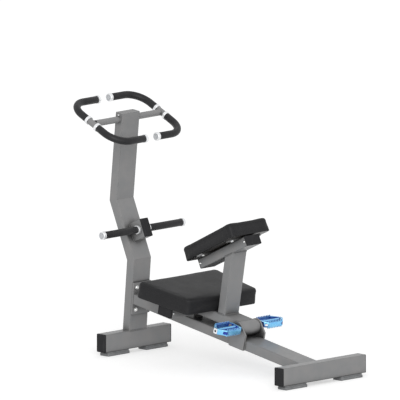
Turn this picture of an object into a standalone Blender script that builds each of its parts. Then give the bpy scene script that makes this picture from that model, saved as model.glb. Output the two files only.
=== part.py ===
"""Stretching machine: a floor frame with a kneed column, handle bars, a rocking seat frame and pedals.

The driving dimensions below are in millimetres and are turned to metres where a mesh or an empty is
made. +X is the object's right side seen from the column, -Y is the front (pedals), +Z is up.
"forward" is the distance from the rear foot's front face towards the front foot.
"""
import math

import bmesh
import bpy
from mathutils import Vector

MM = 0.001
GAP = 0.3                      # clearance between touching pieces
WELD_OVERLAP = 1.5             # how far a welded tube runs into its neighbour's wall
SIDES = ((-1, "left"), (1, "right"))
TUBE_WALL = 3.0
TUBE_CORNER = 5.0

# Feet
FOOT_DEPTH = 60.0
FOOT_HEIGHT = 90.0
REAR_FOOT_LENGTH = 454.0
FRONT_FOOT_LENGTH = 571.0
FRONT_FOOT_FACE = 1281.0       # forward distance of the front foot's front face
FOOT_PAD_HEIGHT = 20.0
FOOT_PAD_LIP = 13.0            # height of the wide lower step
FOOT_PAD_STEP = 4.0            # how far the upper step stands back
FOOT_PAD_LENGTH = 149.0
FOOT_PAD_INSET = 21.0          # from the tube's end to the pad
CAP_THICKNESS = 5.0
CAP_INSERT = 18.0
CAP_ROUND = 2.0

# Column, a 120 x 50 tube with two knees; its front face passes through (forward, height)
COLUMN_WIDTH = 120.0
COLUMN_DEPTH = 50.0
COLUMN_KNEES = ((0.0, 110.6), (30.0, 465.0), (-90.0, 746.0), (-48.0, 1171.0))
COLUMN_PLATE = 4.0             # thickness of the plate that closes the tube's top

# Main beam, lying flat and sloping down to the front foot
BEAM_SLOPE = math.radians(9.87)
BEAM_WIDTH = 120.0
BEAM_HEIGHT = 50.0
BEAM_TOP = -40.0               # above the pivot axis, square to the slope
FLANGE_HEIGHT = 160.0
FLANGE_CENTRE = 161.5          # up the column from its foot
FLANGE_THICKNESS = 10.0
FLANGE_BOLT_ACROSS = 40.0
FLANGE_BOLT_UP = 55.0

# Pivot of the seat frame
PIVOT_FORWARD = 745.0
PIVOT_HEIGHT = 210.0
HOUSING_RADIUS = 38.0
HOUSING_LENGTH = 118.0
BUSH_RADIUS = 17.0
SHAFT_RADIUS = 8.0
SHAFT_SEAT = 8.4               # bore that takes the shaft
CHEEK_THICKNESS = 10.0
CHEEK_RADIUS = 40.0
CHEEK_NOSE = (64.0, -14.0)     # foremost corner: along the beam, above the axis
CHEEK_TOE = 60.0               # front corner at the beam's underside
CHEEK_SKIRT = -90.3            # lower edge, level with the beam's underside

# Seat frame: rail, cross tubes and post
RAIL_WIDTH = 100.0
RAIL_HEIGHT = 50.0
RAIL_TOP = HOUSING_RADIUS      # above the pivot axis
RAIL_MIDDLE = RAIL_TOP - RAIL_HEIGHT / 2
RAIL_BELOW = RAIL_HEIGHT - RAIL_TOP
CROSS_TUBE_BEHIND = 334.0
CROSS_TUBE_WIDTH = 88.0
CROSS_TUBE_END = 227.0
CROSS_CAP_THICKNESS = 12.0
POST_BEHIND = 135.0
POST_DEPTH = 50.0
POST_WIDTH = 100.0
BUMPER_BEHIND = 330.0
BUMPER_RADIUS = 22.0
BUMPER_SHOULDER = 0.4          # share of the height that is a plain cylinder

# Seat pad
SEAT_HALF_REAR = 273.0
SEAT_HALF_FRONT = 243.0
SEAT_REAR = 513.0
SEAT_FRONT = 176.0
SEAT_THICKNESS = 82.0
SEAT_CROWN = 5.0
SEAT_CORNER = 27.0
BOARD_THICKNESS = 12.0
BOARD_INSET = 9.0

# Saddle pad on its sloping support tube; lengths are measured from the tube's rear lower edge
SADDLE_SLOPE = math.radians(25.6)
SADDLE_FORWARD = 477.4
SADDLE_HEIGHT = 474.3
SUPPORT_LENGTH = 358.0
SUPPORT_WIDTH = 100.0
SUPPORT_HEIGHT = 50.0
STRAP_ALONG = (76.0, 296.0)
STRAP_LENGTH = 210.0
STRAP_WIDTH = 40.0
STRAP_THICKNESS = 5.0
SADDLE_REAR = -45.0
SADDLE_FRONT = 367.0
SADDLE_HALF_REAR = 97.0
SADDLE_HALF_FRONT = 138.0
SADDLE_CORNER = 27.0
SADDLE_THICKNESS = 73.0
SADDLE_CROWN = 4.0

# Handle hoop on the column's top
HOOP_FORWARD = -77.0
HOOP_HEIGHT = 1145.0
HOOP_SLOPE = math.radians(25.0)
HOOP_HALF_WIDTH = 235.0
HOOP_HALF_LENGTH = 180.0
HOOP_CORNER = 95.0
HOOP_GAP = 34.0                # half the opening between the two bars
HOOP_BARE = 25.5               # half the bare length where the cross tube joins
BAR_RADIUS = 16.0
BAR_BORE = 13.5
BAR_SIDES = 14
SLEEVE_BORE = 16.4
GRIP_RADIUS = 18.0
COLLAR_RADIUS = 21.0
COLLAR_LENGTH = 15.0

# Mid handle on the column's middle stretch
STUB_FORWARD = -22.7
STUB_HEIGHT = 588.5
STUB_WIDTH = 54.0
STUB_TALL = 93.0
STUB_LENGTH = 82.0
MID_BAR_OUT = 54.0             # from the column's face to the bar's axis
MID_BAR_HALF = 280.0

# Pedals
PEDAL_ALONG = 8.2              # from the pivot axis, along the beam
PEDAL_ABOVE = 16.0             # from the pivot axis, square to the beam
PEDAL_TILTS = {"left": math.radians(15), "right": math.radians(8)}   # how each hangs, front edge low
PEDAL_INNER = 79.0
PEDAL_OUTER = 225.0
PEDAL_HALF_DEPTH = 47.0
PEDAL_HALF_HEIGHT = 13.0
PEDAL_TAPER = 36.0             # where the outer corners begin, from the outer end
PEDAL_END_HALF = 16.0          # half the depth of the outer end
PEDAL_NOTCH = 8.0              # how far the inner corners are cut back
PEDAL_CHAMFER = 1.5            # along the cage's upper and lower edges
PEDAL_RAIL = 13.0              # thickness of the cage rails
PEDAL_PLATE = 10.0             # thickness of the cage's inner end plate
PEDAL_WINDOW_END = 12.0        # from the window to the outer end
PEDAL_WINDOW_TAPER = 24.0
PEDAL_BARREL_RADIUS = 10.6
PEDAL_BORE = 6.5
PEDAL_MOUTH = 8.4              # wider outer end of the bore
PEDAL_MOUTH_DEPTH = 16.0
TOOTH_PITCH = 11.0
TOOTH_FIRST = 93.0             # middle of the innermost tooth
TOOTH_COUNT = 9
TOOTH_HEIGHT = 5.0
TOOTH_BASE = 3.2               # half the width at the foot
TOOTH_TIP = 1.5                # half the width at the tip
TOOTH_ROW = 41.5               # from the pedal axis to the row of teeth
AXLE_RADIUS = 6.0
AXLE_END = 19.0                # from the axle's end to the pedal's outer end
THREAD_RADIUS = 7.0
THREAD_HOLE = 7.5
SPINDLE_COLLAR = 11.0          # radius of the collar against the cheek
SPINDLE_NECK = 8.0             # radius between the collar and the pedal

# Bolts
BOLT_RADIUS = 5.0
BOLT_HOLE = 5.5
BOLT_HEAD = 17.0               # across the flats
BOLT_HEAD_HEIGHT = 6.0

# The object's origin is the middle of its box on the floor: the front foot's face is the foremost
# point and the rear of the hoop's end caps is the rearmost.
HOOP_REACH = HOOP_HALF_LENGTH * math.cos(HOOP_SLOPE) + COLLAR_RADIUS
ORIGIN_FORWARD = (FRONT_FOOT_FACE + HOOP_FORWARD - HOOP_REACH) / 2

FINISHES = {
    "powder_coated_steel": ("85868A", 0.45, 0.1),
    "black_plastic": ("2E2E30", 0.55, 0.0),
    "grip_rubber": ("333335", 0.8, 0.0),
    "black_vinyl": ("3B3B3D", 0.5, 0.0),
    "bright_aluminium": ("E8EAEC", 0.25, 1.0),
    "zinc_plated_steel": ("D4D6D8", 0.3, 1.0),
    "turned_steel": ("8C8E92", 0.35, 1.0),
    "bronze": ("A87B42", 0.4, 1.0),
    "blue_anodised_aluminium": ("3C82D8", 0.3, 0.8),
    "grey_rubber": ("6E6F72", 0.8, 0.0),
    "black_rubber": ("262627", 0.85, 0.0),
    "plywood": ("2B2A29", 0.7, 0.0),
}


def clear_scene():
    for item in list(bpy.data.objects):
        bpy.data.objects.remove(item, do_unlink=True)


def linear(hex_colour):
    """sRGB hex to the linear colour that a material holds."""
    values = [int(hex_colour[i:i + 2], 16) / 255 for i in (0, 2, 4)]
    return [v / 12.92 if v <= 0.04045 else ((v + 0.055) / 1.055) ** 2.4 for v in values] + [1.0]


def finish_material(finish):
    found = bpy.data.materials.get(finish)
    if found:
        return found
    colour, roughness, metallic = FINISHES[finish]
    material = bpy.data.materials.new(finish)
    material.use_nodes = True
    shader = material.node_tree.nodes["Principled BSDF"]
    shader.inputs["Base Color"].default_value = linear(colour)
    shader.inputs["Roughness"].default_value = roughness
    shader.inputs["Metallic"].default_value = metallic
    return material


# Outlines: lists of points (a, b), counter-clockwise

def rounded_rectangle(width, height, radius, steps=2, centre=(0.0, 0.0)):
    points = []
    for corner, (side_a, side_b) in enumerate(((1, 1), (-1, 1), (-1, -1), (1, -1))):
        centre_a = centre[0] + side_a * (width / 2 - radius)
        centre_b = centre[1] + side_b * (height / 2 - radius)
        for step in range(steps + 1):
            angle = math.radians(90) * (corner + step / steps)
            points.append((centre_a + radius * math.cos(angle), centre_b + radius * math.sin(angle)))
    return points


def circle(radius, sides=16, centre=(0.0, 0.0)):
    turns = [math.tau * i / sides for i in range(sides)]
    return [(centre[0] + radius * math.cos(t), centre[1] + radius * math.sin(t)) for t in turns]


def hexagon(across_flats, centre=(0.0, 0.0)):
    """Twelve points, the corners and the middles of the flats, so it matches a 12-sided circle."""
    points = []
    for i in range(12):
        reach = across_flats / 2 if i % 2 else across_flats / 2 / math.cos(math.radians(30))
        angle = math.radians(30) * i
        points.append((centre[0] + reach * math.cos(angle), centre[1] + reach * math.sin(angle)))
    return points


# Rings: an outline set square to X, Y or Z, with an optional slope of the plane it lies in

def ring_x(outline, x):
    return [Vector((x, a, b)) for a, b in outline]


def ring_y(outline, y, slope=0.0):
    return [Vector((a, y + slope * b, b)) for a, b in outline]


def ring_z(outline, z, slope=0.0):
    return [Vector((a, b, z + slope * b)) for a, b in outline]


def solid(rings):
    """A body skinned over its rings, with the first and the last ring filled."""
    return rings, False


def hollow(rings):
    """A body whose last ring joins the first one, such as a tube's wall."""
    return rings, True


def tube_wall(outer, inner):
    return hollow(outer + inner[::-1])


def rod_x(radius, start, end, y=0.0, z=0.0, sides=16):
    outline = circle(radius, sides, (y, z))
    return solid([ring_x(outline, start), ring_x(outline, end)])


def rod_y(radius, start, end, x=0.0, z=0.0, sides=12):
    outline = circle(radius, sides, (x, z))
    return solid([ring_y(outline, start), ring_y(outline, end)])


def mesh_object(name, bodies, parent, origin):
    """Bodies are in the parent's millimetres; the object's own origin is put at origin."""
    start = Vector(origin)
    mesh = bmesh.new()
    for rings, closed in bodies:
        loops = [[mesh.verts.new((point - start) * MM) for point in ring] for ring in rings]
        pairs = list(zip(loops, loops[1:]))
        if closed:
            pairs.append((loops[-1], loops[0]))
        else:
            mesh.faces.new(loops[0])
            mesh.faces.new(loops[-1])
        for near, far in pairs:
            for i in range(len(near)):
                j = (i + 1) % len(near)
                mesh.faces.new((near[i], near[j], far[j], far[i]))
    bmesh.ops.recalc_face_normals(mesh, faces=mesh.faces)
    data = bpy.data.meshes.new(name)
    mesh.to_mesh(data)
    mesh.free()
    item = bpy.data.objects.new(name, data)
    bpy.context.scene.collection.objects.link(item)
    item.parent = parent
    item.location = start * MM
    return item


def piece(name, body, finish, parent=None, origin=(0.0, 0.0, 0.0)):
    item = mesh_object(name, [body], parent, origin)
    item.data.materials.append(finish_material(finish))
    item.data.shade_smooth()
    item.data.set_sharp_from_angle(angle=math.radians(32))
    return item


def cutter(name, bodies, parent=None):
    item = mesh_object(name, bodies, parent, (0.0, 0.0, 0.0))
    item.hide_render = True
    item.display_type = "WIRE"
    return item


def boolean(target, other, operation="DIFFERENCE"):
    modifier = target.modifiers.new(other.name, "BOOLEAN")
    modifier.object = other
    modifier.operation = operation
    modifier.solver = "EXACT"


def back(forward):
    """World Y, in millimetres, of a forward distance."""
    return ORIGIN_FORWARD - forward


def frame_at(name, forward, height, turn, parent=None, local=None):
    """An empty that carries pieces: -Y is forward in its own slope, +Z is square to it."""
    item = bpy.data.objects.new(name, None)
    bpy.context.scene.collection.objects.link(item)
    item.parent = parent
    place = local if local else (0.0, back(forward), height)
    item.location = Vector(place) * MM
    item.rotation_euler = (turn, 0.0, 0.0)
    return item


def beam_coordinates(forward, height):
    """Distances from the pivot axis along the beam's slope (forwards) and square to it."""
    ahead = forward - PIVOT_FORWARD
    up = height - PIVOT_HEIGHT
    along = ahead * math.cos(BEAM_SLOPE) - up * math.sin(BEAM_SLOPE)
    above = ahead * math.sin(BEAM_SLOPE) + up * math.cos(BEAM_SLOPE)
    return along, above


# Plastic end cap of a tube: an insert inside the wall and a flange with a rounded rim

def cap_rings(place, width, height, sign, end, centre=(0.0, 0.0), insert=CAP_INSERT,
              thickness=CAP_THICKNESS):
    bore = 2 * (TUBE_WALL + GAP)
    plug = rounded_rectangle(width - bore, height - bore, TUBE_WALL, 2, centre)
    flange = rounded_rectangle(width, height, TUBE_CORNER, 2, centre)
    rim = rounded_rectangle(width - 2 * CAP_ROUND, height - 2 * CAP_ROUND, TUBE_CORNER, 2, centre)
    seat = end + sign * GAP
    face = end + sign * thickness
    return solid([
        place(plug, end - sign * insert),
        place(plug, seat),
        place(flange, seat),
        place(flange, face - sign * CAP_ROUND),
        place(rim, face),
    ])


def box_tube(place, width, height, start, end, centre=(0.0, 0.0)):
    outer = rounded_rectangle(width, height, TUBE_CORNER, 2, centre)
    inner = rounded_rectangle(width - 2 * TUBE_WALL, height - 2 * TUBE_WALL, TUBE_WALL, 2, centre)
    return tube_wall([place(outer, start), place(outer, end)], [place(inner, start), place(inner, end)])


# Feet

def make_foot(end_name, length, face_forward):
    middle = (back(face_forward - FOOT_DEPTH / 2), FOOT_PAD_HEIGHT + GAP + FOOT_HEIGHT / 2)
    half = length / 2 - CAP_THICKNESS
    body = box_tube(ring_x, FOOT_DEPTH, FOOT_HEIGHT, -half, half, middle)
    piece(f"{end_name}_foot_tube", body, "powder_coated_steel", origin=(0.0, *middle))
    for side, side_name in SIDES:
        cap = cap_rings(ring_x, FOOT_DEPTH, FOOT_HEIGHT, side, side * half, middle)
        piece(f"{end_name}_foot_cap_{side_name}", cap, "black_plastic", origin=(side * half, *middle))
        make_foot_pad(f"{end_name}_foot_pad_{side_name}", side, length, middle[0])


def make_foot_pad(name, side, length, middle_y):
    middle = (side * (length / 2 - FOOT_PAD_INSET - FOOT_PAD_LENGTH / 2), middle_y)
    inset = 2 * FOOT_PAD_STEP
    upper = rounded_rectangle(FOOT_PAD_LENGTH - inset, FOOT_DEPTH - inset, 3.0, 2, middle)
    lip = rounded_rectangle(FOOT_PAD_LENGTH, FOOT_DEPTH, 4.0, 2, middle)
    sole = rounded_rectangle(FOOT_PAD_LENGTH - 3.0, FOOT_DEPTH - 3.0, 4.0, 2, middle)
    rings = [
        ring_z(upper, FOOT_PAD_HEIGHT),
        ring_z(upper, FOOT_PAD_LIP),
        ring_z(lip, FOOT_PAD_LIP),
        ring_z(lip, 1.5),
        ring_z(sole, 0.0),
    ]
    piece(name, solid(rings), "grey_rubber", origin=(*middle, 0.0))


# Column

def column_directions():
    directions = []
    for (forward_a, height_a), (forward_b, height_b) in zip(COLUMN_KNEES, COLUMN_KNEES[1:]):
        length = math.hypot(forward_b - forward_a, height_b - height_a)
        directions.append(((forward_b - forward_a) / length, (height_b - height_a) / length))
    return directions


def column_depth_vectors():
    """For each knee, the step from the front face to the rear face for one unit of depth."""
    rears = [(-up, ahead) for ahead, up in column_directions()]
    vectors = [(1 / rears[0][0], 0.0)]
    for first, second in zip(rears, rears[1:]):
        share = 1 + first[0] * second[0] + first[1] * second[1]
        vectors.append(((first[0] + second[0]) / share, (first[1] + second[1]) / share))
    vectors.append(rears[-1])
    return vectors


def column_ring(knee, depth_vector, outline):
    points = []
    for a, b in outline:
        depth = b + COLUMN_DEPTH / 2
        forward = knee[0] + depth * depth_vector[0]
        height = knee[1] + depth * depth_vector[1]
        points.append(Vector((a, back(forward), height)))
    return points


def column_frame(name, stretch, forward, height):
    """A frame on the front face of one stretch of the column, its Z up the face."""
    ahead, up = column_directions()[stretch]
    return frame_at(name, forward, height, math.atan2(ahead, up))


def make_column(bolt_holes):
    """A bent tube whose top is closed by a welded plate."""
    outer = rounded_rectangle(COLUMN_WIDTH, COLUMN_DEPTH, TUBE_CORNER, 2)
    inner = rounded_rectangle(COLUMN_WIDTH - 2 * TUBE_WALL, COLUMN_DEPTH - 2 * TUBE_WALL, TUBE_WALL, 2)
    rim = rounded_rectangle(COLUMN_WIDTH - 2, COLUMN_DEPTH - 2, TUBE_CORNER - 1, 2)
    sections = list(zip(COLUMN_KNEES, column_depth_vectors()))
    ahead, up = column_directions()[-1]
    top, vector = sections[-1]
    plate_face = (top[0] + COLUMN_PLATE * ahead, top[1] + COLUMN_PLATE * up)
    plate_edge = (plate_face[0] - ahead, plate_face[1] - up)
    rings = [column_ring(*section, inner) for section in sections[::-1]]
    rings += [column_ring(*section, outer) for section in sections]
    rings += [column_ring(plate_edge, vector, outer), column_ring(plate_face, vector, rim)]
    column = piece("column_tube", solid(rings), "powder_coated_steel",
                   origin=(0.0, back(0.0), COLUMN_KNEES[0][1]))
    reach = COLUMN_WIDTH / 2 + 10
    tube_hole = rod_x(SLEEVE_BORE, -reach, reach, back(HOOP_FORWARD), HOOP_HEIGHT, BAR_SIDES)
    boolean(column, cutter("cross_tube_hole", [tube_hole]))
    boolean(column, bolt_holes)


def bolt(place, tip, seat, out, centre, across_flats=BOLT_HEAD, height=BOLT_HEAD_HEIGHT):
    """Hex-head bolt whose shank runs from tip to seat; out is the way the head points."""
    shank = circle(BOLT_RADIUS, 12, centre)
    head = hexagon(across_flats, centre)
    face = hexagon(across_flats - 3.0, centre)
    return solid([
        place(shank, tip),
        place(shank, seat + out * GAP),
        place(head, seat + out * GAP),
        place(head, seat + out * (height - 1.5)),
        place(face, seat + out * height),
    ])


# Main beam with its flange, cheeks, shaft and bumper

def make_beam(line):
    """The beam tube with the flange welded on its rear end, and the bolts through the flange."""
    foot = column_frame("flange_frame", 0, *COLUMN_KNEES[0])
    middle = (0.0, FLANGE_CENTRE)
    front = -GAP - FLANGE_THICKNESS
    plate = rounded_rectangle(COLUMN_WIDTH, FLANGE_HEIGHT, 4.0, 2, middle)
    flange = cutter("beam_flange", [solid([ring_y(plate, -GAP), ring_y(plate, front)])], foot)

    place = (0.0, 0.0, BEAM_TOP - BEAM_HEIGHT / 2)
    beam = piece("main_beam", beam_wall(), "powder_coated_steel", line, place)
    boolean(beam, flange, "UNION")
    rises = (("lower", -FLANGE_BOLT_UP), ("upper", FLANGE_BOLT_UP))
    seats = {f"{level}_{side_name}": (side * FLANGE_BOLT_ACROSS, FLANGE_CENTRE + rise)
             for side, side_name in SIDES for level, rise in rises}
    shafts = [rod_y(BOLT_HOLE, 20.0, front - 5, *seat) for seat in seats.values()]
    holes = cutter("flange_bolt_holes", shafts, foot)
    boolean(beam, holes)
    for name, (x, z) in seats.items():
        body = bolt(ring_y, 14.0, front, -1, (x, z))
        piece(f"flange_bolt_{name}", body, "zinc_plated_steel", foot, (x, front, z))
    return holes


def beam_wall():
    """The beam's tube: its rear end follows the flange and its front end the foot's upright face."""
    middle = (0.0, BEAM_TOP - BEAM_HEIGHT / 2)
    ahead, up = column_directions()[0]
    stand_off = GAP + FLANGE_THICKNESS - WELD_OVERLAP
    rear_point = beam_coordinates(COLUMN_KNEES[0][0] + FLANGE_CENTRE * ahead + stand_off * up,
                                  COLUMN_KNEES[0][1] + FLANGE_CENTRE * up - stand_off * ahead)
    rear_slope = math.tan(BEAM_SLOPE - math.atan2(ahead, up))
    rear = -rear_point[0] - rear_slope * rear_point[1]
    front_point = beam_coordinates(FRONT_FOOT_FACE - FOOT_DEPTH - GAP, PIVOT_HEIGHT)
    front_slope = math.tan(BEAM_SLOPE)
    front = -front_point[0] - front_slope * front_point[1]
    outer = rounded_rectangle(BEAM_WIDTH, BEAM_HEIGHT, TUBE_CORNER, 2, middle)
    inner = rounded_rectangle(BEAM_WIDTH - 2 * TUBE_WALL, BEAM_HEIGHT - 2 * TUBE_WALL, TUBE_WALL, 2, middle)
    return tube_wall([ring_y(outer, rear, rear_slope), ring_y(outer, front, front_slope)],
                     [ring_y(inner, rear, rear_slope), ring_y(inner, front, front_slope)])


def cheek_outline():
    """Points (y, z) in the beam's frame: a round head over the axis and a nose that juts forward."""
    reach = math.hypot(*CHEEK_NOSE)
    touch = math.atan2(CHEEK_NOSE[1], CHEEK_NOSE[0]) + math.acos(CHEEK_RADIUS / reach)
    steps = 12
    points = [(CHEEK_RADIUS, CHEEK_SKIRT), (-CHEEK_TOE, CHEEK_SKIRT), (-CHEEK_NOSE[0], CHEEK_NOSE[1])]
    for step in range(steps + 1):
        angle = touch + (math.pi - touch) * step / steps
        points.append((-CHEEK_RADIUS * math.cos(angle), CHEEK_RADIUS * math.sin(angle)))
    return points


def make_cheeks(line):
    inner = BEAM_WIDTH / 2 + GAP
    outer = inner + CHEEK_THICKNESS
    holes = cutter("cheek_holes", [
        rod_x(SHAFT_SEAT, -outer - 5, outer + 5, 0.0, 0.0, 24),
        rod_x(THREAD_HOLE, -outer - 5, outer + 5, -PEDAL_ALONG, PEDAL_ABOVE, 16),
    ], line)
    for side, side_name in SIDES:
        rings = [ring_x(cheek_outline(), side * inner), ring_x(cheek_outline(), side * outer)]
        cheek = piece(f"cheek_plate_{side_name}", solid(rings), "powder_coated_steel", line)
        boolean(cheek, holes)
    shaft = rod_x(SHAFT_RADIUS, -outer, outer, 0.0, 0.0, 24)
    piece("pivot_shaft", shaft, "turned_steel", line)


def make_bumper(line):
    height = -RAIL_BELOW - GAP - (BEAM_TOP + GAP)
    foot = BEAM_TOP + GAP
    centre = (0.0, BUMPER_BEHIND)
    rings = [
        ring_z(circle(BUMPER_RADIUS, 20, centre), foot),
        ring_z(circle(BUMPER_RADIUS, 20, centre), foot + height * BUMPER_SHOULDER),
        ring_z(circle(BUMPER_RADIUS * 0.75, 20, centre), foot + height - 2),
        ring_z(circle(BUMPER_RADIUS * 0.65, 20, centre), foot + height),
    ]
    piece("stop_bumper", solid(rings), "black_rubber", line, (*centre, foot))


# Rocking seat frame. Its own frame has the pivot axis at its origin.

def make_rail(rocker):
    """The rail from the pivot housing to the cross tube under the seat pad, welded to it in a T."""
    joint = CROSS_TUBE_BEHIND - CROSS_TUBE_WIDTH / 2 + WELD_OVERLAP
    middle = (0.0, RAIL_MIDDLE)
    rail = piece("rocker_rail", box_tube(ring_y, RAIL_WIDTH, RAIL_HEIGHT, joint, 2.0, middle),
                 "powder_coated_steel", rocker)
    cross_middle = (CROSS_TUBE_BEHIND, RAIL_MIDDLE)
    cross = box_tube(ring_x, CROSS_TUBE_WIDTH, RAIL_HEIGHT, -CROSS_TUBE_END, CROSS_TUBE_END, cross_middle)
    boolean(rail, cutter("seat_cross_tube", [cross], rocker), "UNION")
    boolean(rail, cutter("rail_cope", [rod_x(HOUSING_RADIUS + 2 * GAP, -80.0, 80.0, 0.0, 0.0, 40)], rocker))
    for side, side_name in SIDES:
        cap = cap_rings(ring_x, CROSS_TUBE_WIDTH, RAIL_HEIGHT, side, side * CROSS_TUBE_END, cross_middle,
                        thickness=CROSS_CAP_THICKNESS)
        place = (side * CROSS_TUBE_END, *cross_middle)
        piece(f"cross_tube_cap_{side_name}", cap, "black_plastic", rocker, place)


def make_housing(rocker):
    half = HOUSING_LENGTH / 2
    outer = circle(HOUSING_RADIUS, 40)
    rim = circle(HOUSING_RADIUS - 1, 40)
    bore = circle(BUSH_RADIUS + 2 * GAP, 40)
    rings = [
        ring_x(rim, -half),
        ring_x(outer, 1 - half),
        ring_x(outer, half - 1),
        ring_x(rim, half),
        ring_x(bore, half),
        ring_x(bore, -half),
    ]
    piece("pivot_housing", hollow(rings), "powder_coated_steel", rocker)
    sleeve = circle(BUSH_RADIUS, 24)
    eye = circle(SHAFT_SEAT, 24)
    ends = (-half, half)
    bush = tube_wall([ring_x(sleeve, x) for x in ends], [ring_x(eye, x) for x in ends])
    piece("pivot_bush", bush, "bronze", rocker)


def make_post(rocker):
    slope = math.tan(SADDLE_SLOPE + BEAM_SLOPE)
    along, above = beam_coordinates(SADDLE_FORWARD, SADDLE_HEIGHT)
    drop = 2 * GAP / math.cos(SADDLE_SLOPE + BEAM_SLOPE)
    top = above - slope * along - drop
    centre = (0.0, POST_BEHIND)
    outer = rounded_rectangle(POST_WIDTH, POST_DEPTH, TUBE_CORNER, 2, centre)
    inner = rounded_rectangle(POST_WIDTH - 2 * TUBE_WALL, POST_DEPTH - 2 * TUBE_WALL, TUBE_WALL, 2, centre)
    foot = RAIL_TOP + GAP
    wall = tube_wall([ring_z(outer, foot), ring_z(outer, top, -slope)],
                     [ring_z(inner, foot), ring_z(inner, top, -slope)])
    piece("seat_post_tube", wall, "powder_coated_steel", rocker, (*centre, foot))


# Pads: outlines may taper from rear to front; inset draws them in and pull hollows the sides

def pad_outline(half_rear, half_front, rear, front, radius, inset=0.0, pull=0.0, side_steps=4,
                corner_steps=4):
    """Rear is the larger Y. Counter-clockwise from the rear right corner."""
    reach = rear - front
    taper = math.atan2(half_front - half_rear, reach)
    corners = [
        (half_rear, rear, -taper, math.pi / 2),
        (-half_rear, rear, math.pi / 2, math.pi + taper),
        (-half_front, front, math.pi + taper, 3 * math.pi / 2),
        (half_front, front, 3 * math.pi / 2, math.tau - taper),
    ]
    arcs = []
    for x, y, start, end in corners:
        spread = end - start
        shift = radius / math.cos(spread / 2)
        middle = (start + end) / 2
        sharp = corner_point(x, y, taper, inset, half_rear, half_front, rear, front)
        centre = (sharp[0] - shift * math.cos(middle), sharp[1] - shift * math.sin(middle))
        arc = []
        for step in range(corner_steps + 1):
            angle = start + spread * step / corner_steps
            arc.append((centre[0] + radius * math.cos(angle), centre[1] + radius * math.sin(angle), angle))
        arcs.append(arc)
    points = []
    for i, arc in enumerate(arcs):
        points += [(x, y) for x, y, _ in arc]
        x_a, y_a, angle = arc[-1]
        x_b, y_b, _ = arcs[(i + 1) % 4][0]
        for step in range(1, side_steps):
            t = step / side_steps
            draw = pull * (1 - (2 * t - 1) ** 2)
            points.append((x_a + (x_b - x_a) * t - draw * math.cos(angle),
                           y_a + (y_b - y_a) * t - draw * math.sin(angle)))
    return points


def corner_point(x, y, taper, inset, half_rear, half_front, rear, front):
    """The sharp corner of the pad's outline after it is drawn in by inset."""
    sign_x = 1 if x > 0 else -1
    new_y = y - inset if y == rear else y + inset
    grow = (half_front - half_rear) / (rear - front)
    half = half_rear + grow * (rear - new_y) - inset / math.cos(taper)
    return sign_x * half, new_y


def cushion_body(outline, foot, thickness, recess, crown):
    """outline(inset, pull) gives the plan. The board sits in the recess in the underside."""
    top = foot + thickness - crown
    board_bay = outline(BOARD_INSET - 2 * GAP, 0.0)
    centre_x = sum(point[0] for point in board_bay) / len(board_bay)
    centre_y = sum(point[1] for point in board_bay) / len(board_bay)
    edge = outline(8.5, 1.0)
    rings = [
        ring_z(board_bay, foot + recess),
        ring_z(board_bay, foot),
        ring_z(outline(1.5, 0.0), foot),
        ring_z(outline(0.3, 1.0), foot + 3),
        ring_z(outline(0.0, 3.0), foot + thickness * 0.3),
        ring_z(outline(-0.5, 3.5), foot + thickness * 0.6),
        ring_z(outline(0.0, 2.5), top - 9),
        ring_z(outline(1.2, 2.0), top - 5),
        ring_z(outline(4.0, 1.5), top - 1.5),
        ring_z(edge, top),
    ]
    for share in (0.85, 0.6, 0.3):
        rise = crown * (1 - share ** 2)
        ring = [(centre_x + (x - centre_x) * share, centre_y + (y - centre_y) * share) for x, y in edge]
        rings.append(ring_z(ring, top + rise))
    return solid(rings)


def make_pad(name, outline, foot, thickness, crown, frame):
    """A board of plywood and the cushion that is upholstered over it."""
    board_plan = outline(BOARD_INSET, 0.0)
    board = solid([ring_z(board_plan, foot), ring_z(board_plan, foot + BOARD_THICKNESS)])
    piece(f"{name}_board", board, "plywood", frame, (0.0, 0.0, foot))
    cushion = cushion_body(outline, foot, thickness, BOARD_THICKNESS + GAP, crown)
    piece(f"{name}_cushion", cushion, "black_vinyl", frame, (0.0, 0.0, foot))


def seat_outline(inset, pull):
    return pad_outline(SEAT_HALF_REAR, SEAT_HALF_FRONT, SEAT_REAR, SEAT_FRONT, SEAT_CORNER, inset, pull)


def saddle_outline(inset, pull):
    return pad_outline(SADDLE_HALF_REAR, SADDLE_HALF_FRONT, -SADDLE_REAR, -SADDLE_FRONT, SADDLE_CORNER, inset,
                       pull)


def make_saddle(saddle):
    """The sloping support tube with its two welded straps, and the pad on them."""
    middle = (0.0, SUPPORT_HEIGHT / 2)
    rear = -CAP_THICKNESS
    front = CAP_THICKNESS - SUPPORT_LENGTH
    support = piece("saddle_support", box_tube(ring_y, SUPPORT_WIDTH, SUPPORT_HEIGHT, rear, front, middle),
                    "powder_coated_steel", saddle, (0.0, *middle))
    strap_top = SUPPORT_HEIGHT + GAP + STRAP_THICKNESS
    straps = []
    for along in STRAP_ALONG:
        plan = rounded_rectangle(STRAP_LENGTH, STRAP_WIDTH, 6.0, 2, (0.0, -along))
        straps.append(solid([ring_z(plan, SUPPORT_HEIGHT - WELD_OVERLAP), ring_z(plan, strap_top)]))
    boolean(support, cutter("saddle_straps", straps, saddle), "UNION")
    for sign, end, end_name in ((1, rear, "rear"), (-1, front, "front")):
        cap = cap_rings(ring_y, SUPPORT_WIDTH, SUPPORT_HEIGHT, sign, end, middle)
        piece(f"support_cap_{end_name}", cap, "black_plastic", saddle, (0.0, end, middle[1]))
    make_pad("saddle", saddle_outline, strap_top + GAP, SADDLE_THICKNESS, SADDLE_CROWN, saddle)


# Round bars with sleeves: hoop and mid handle

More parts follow.
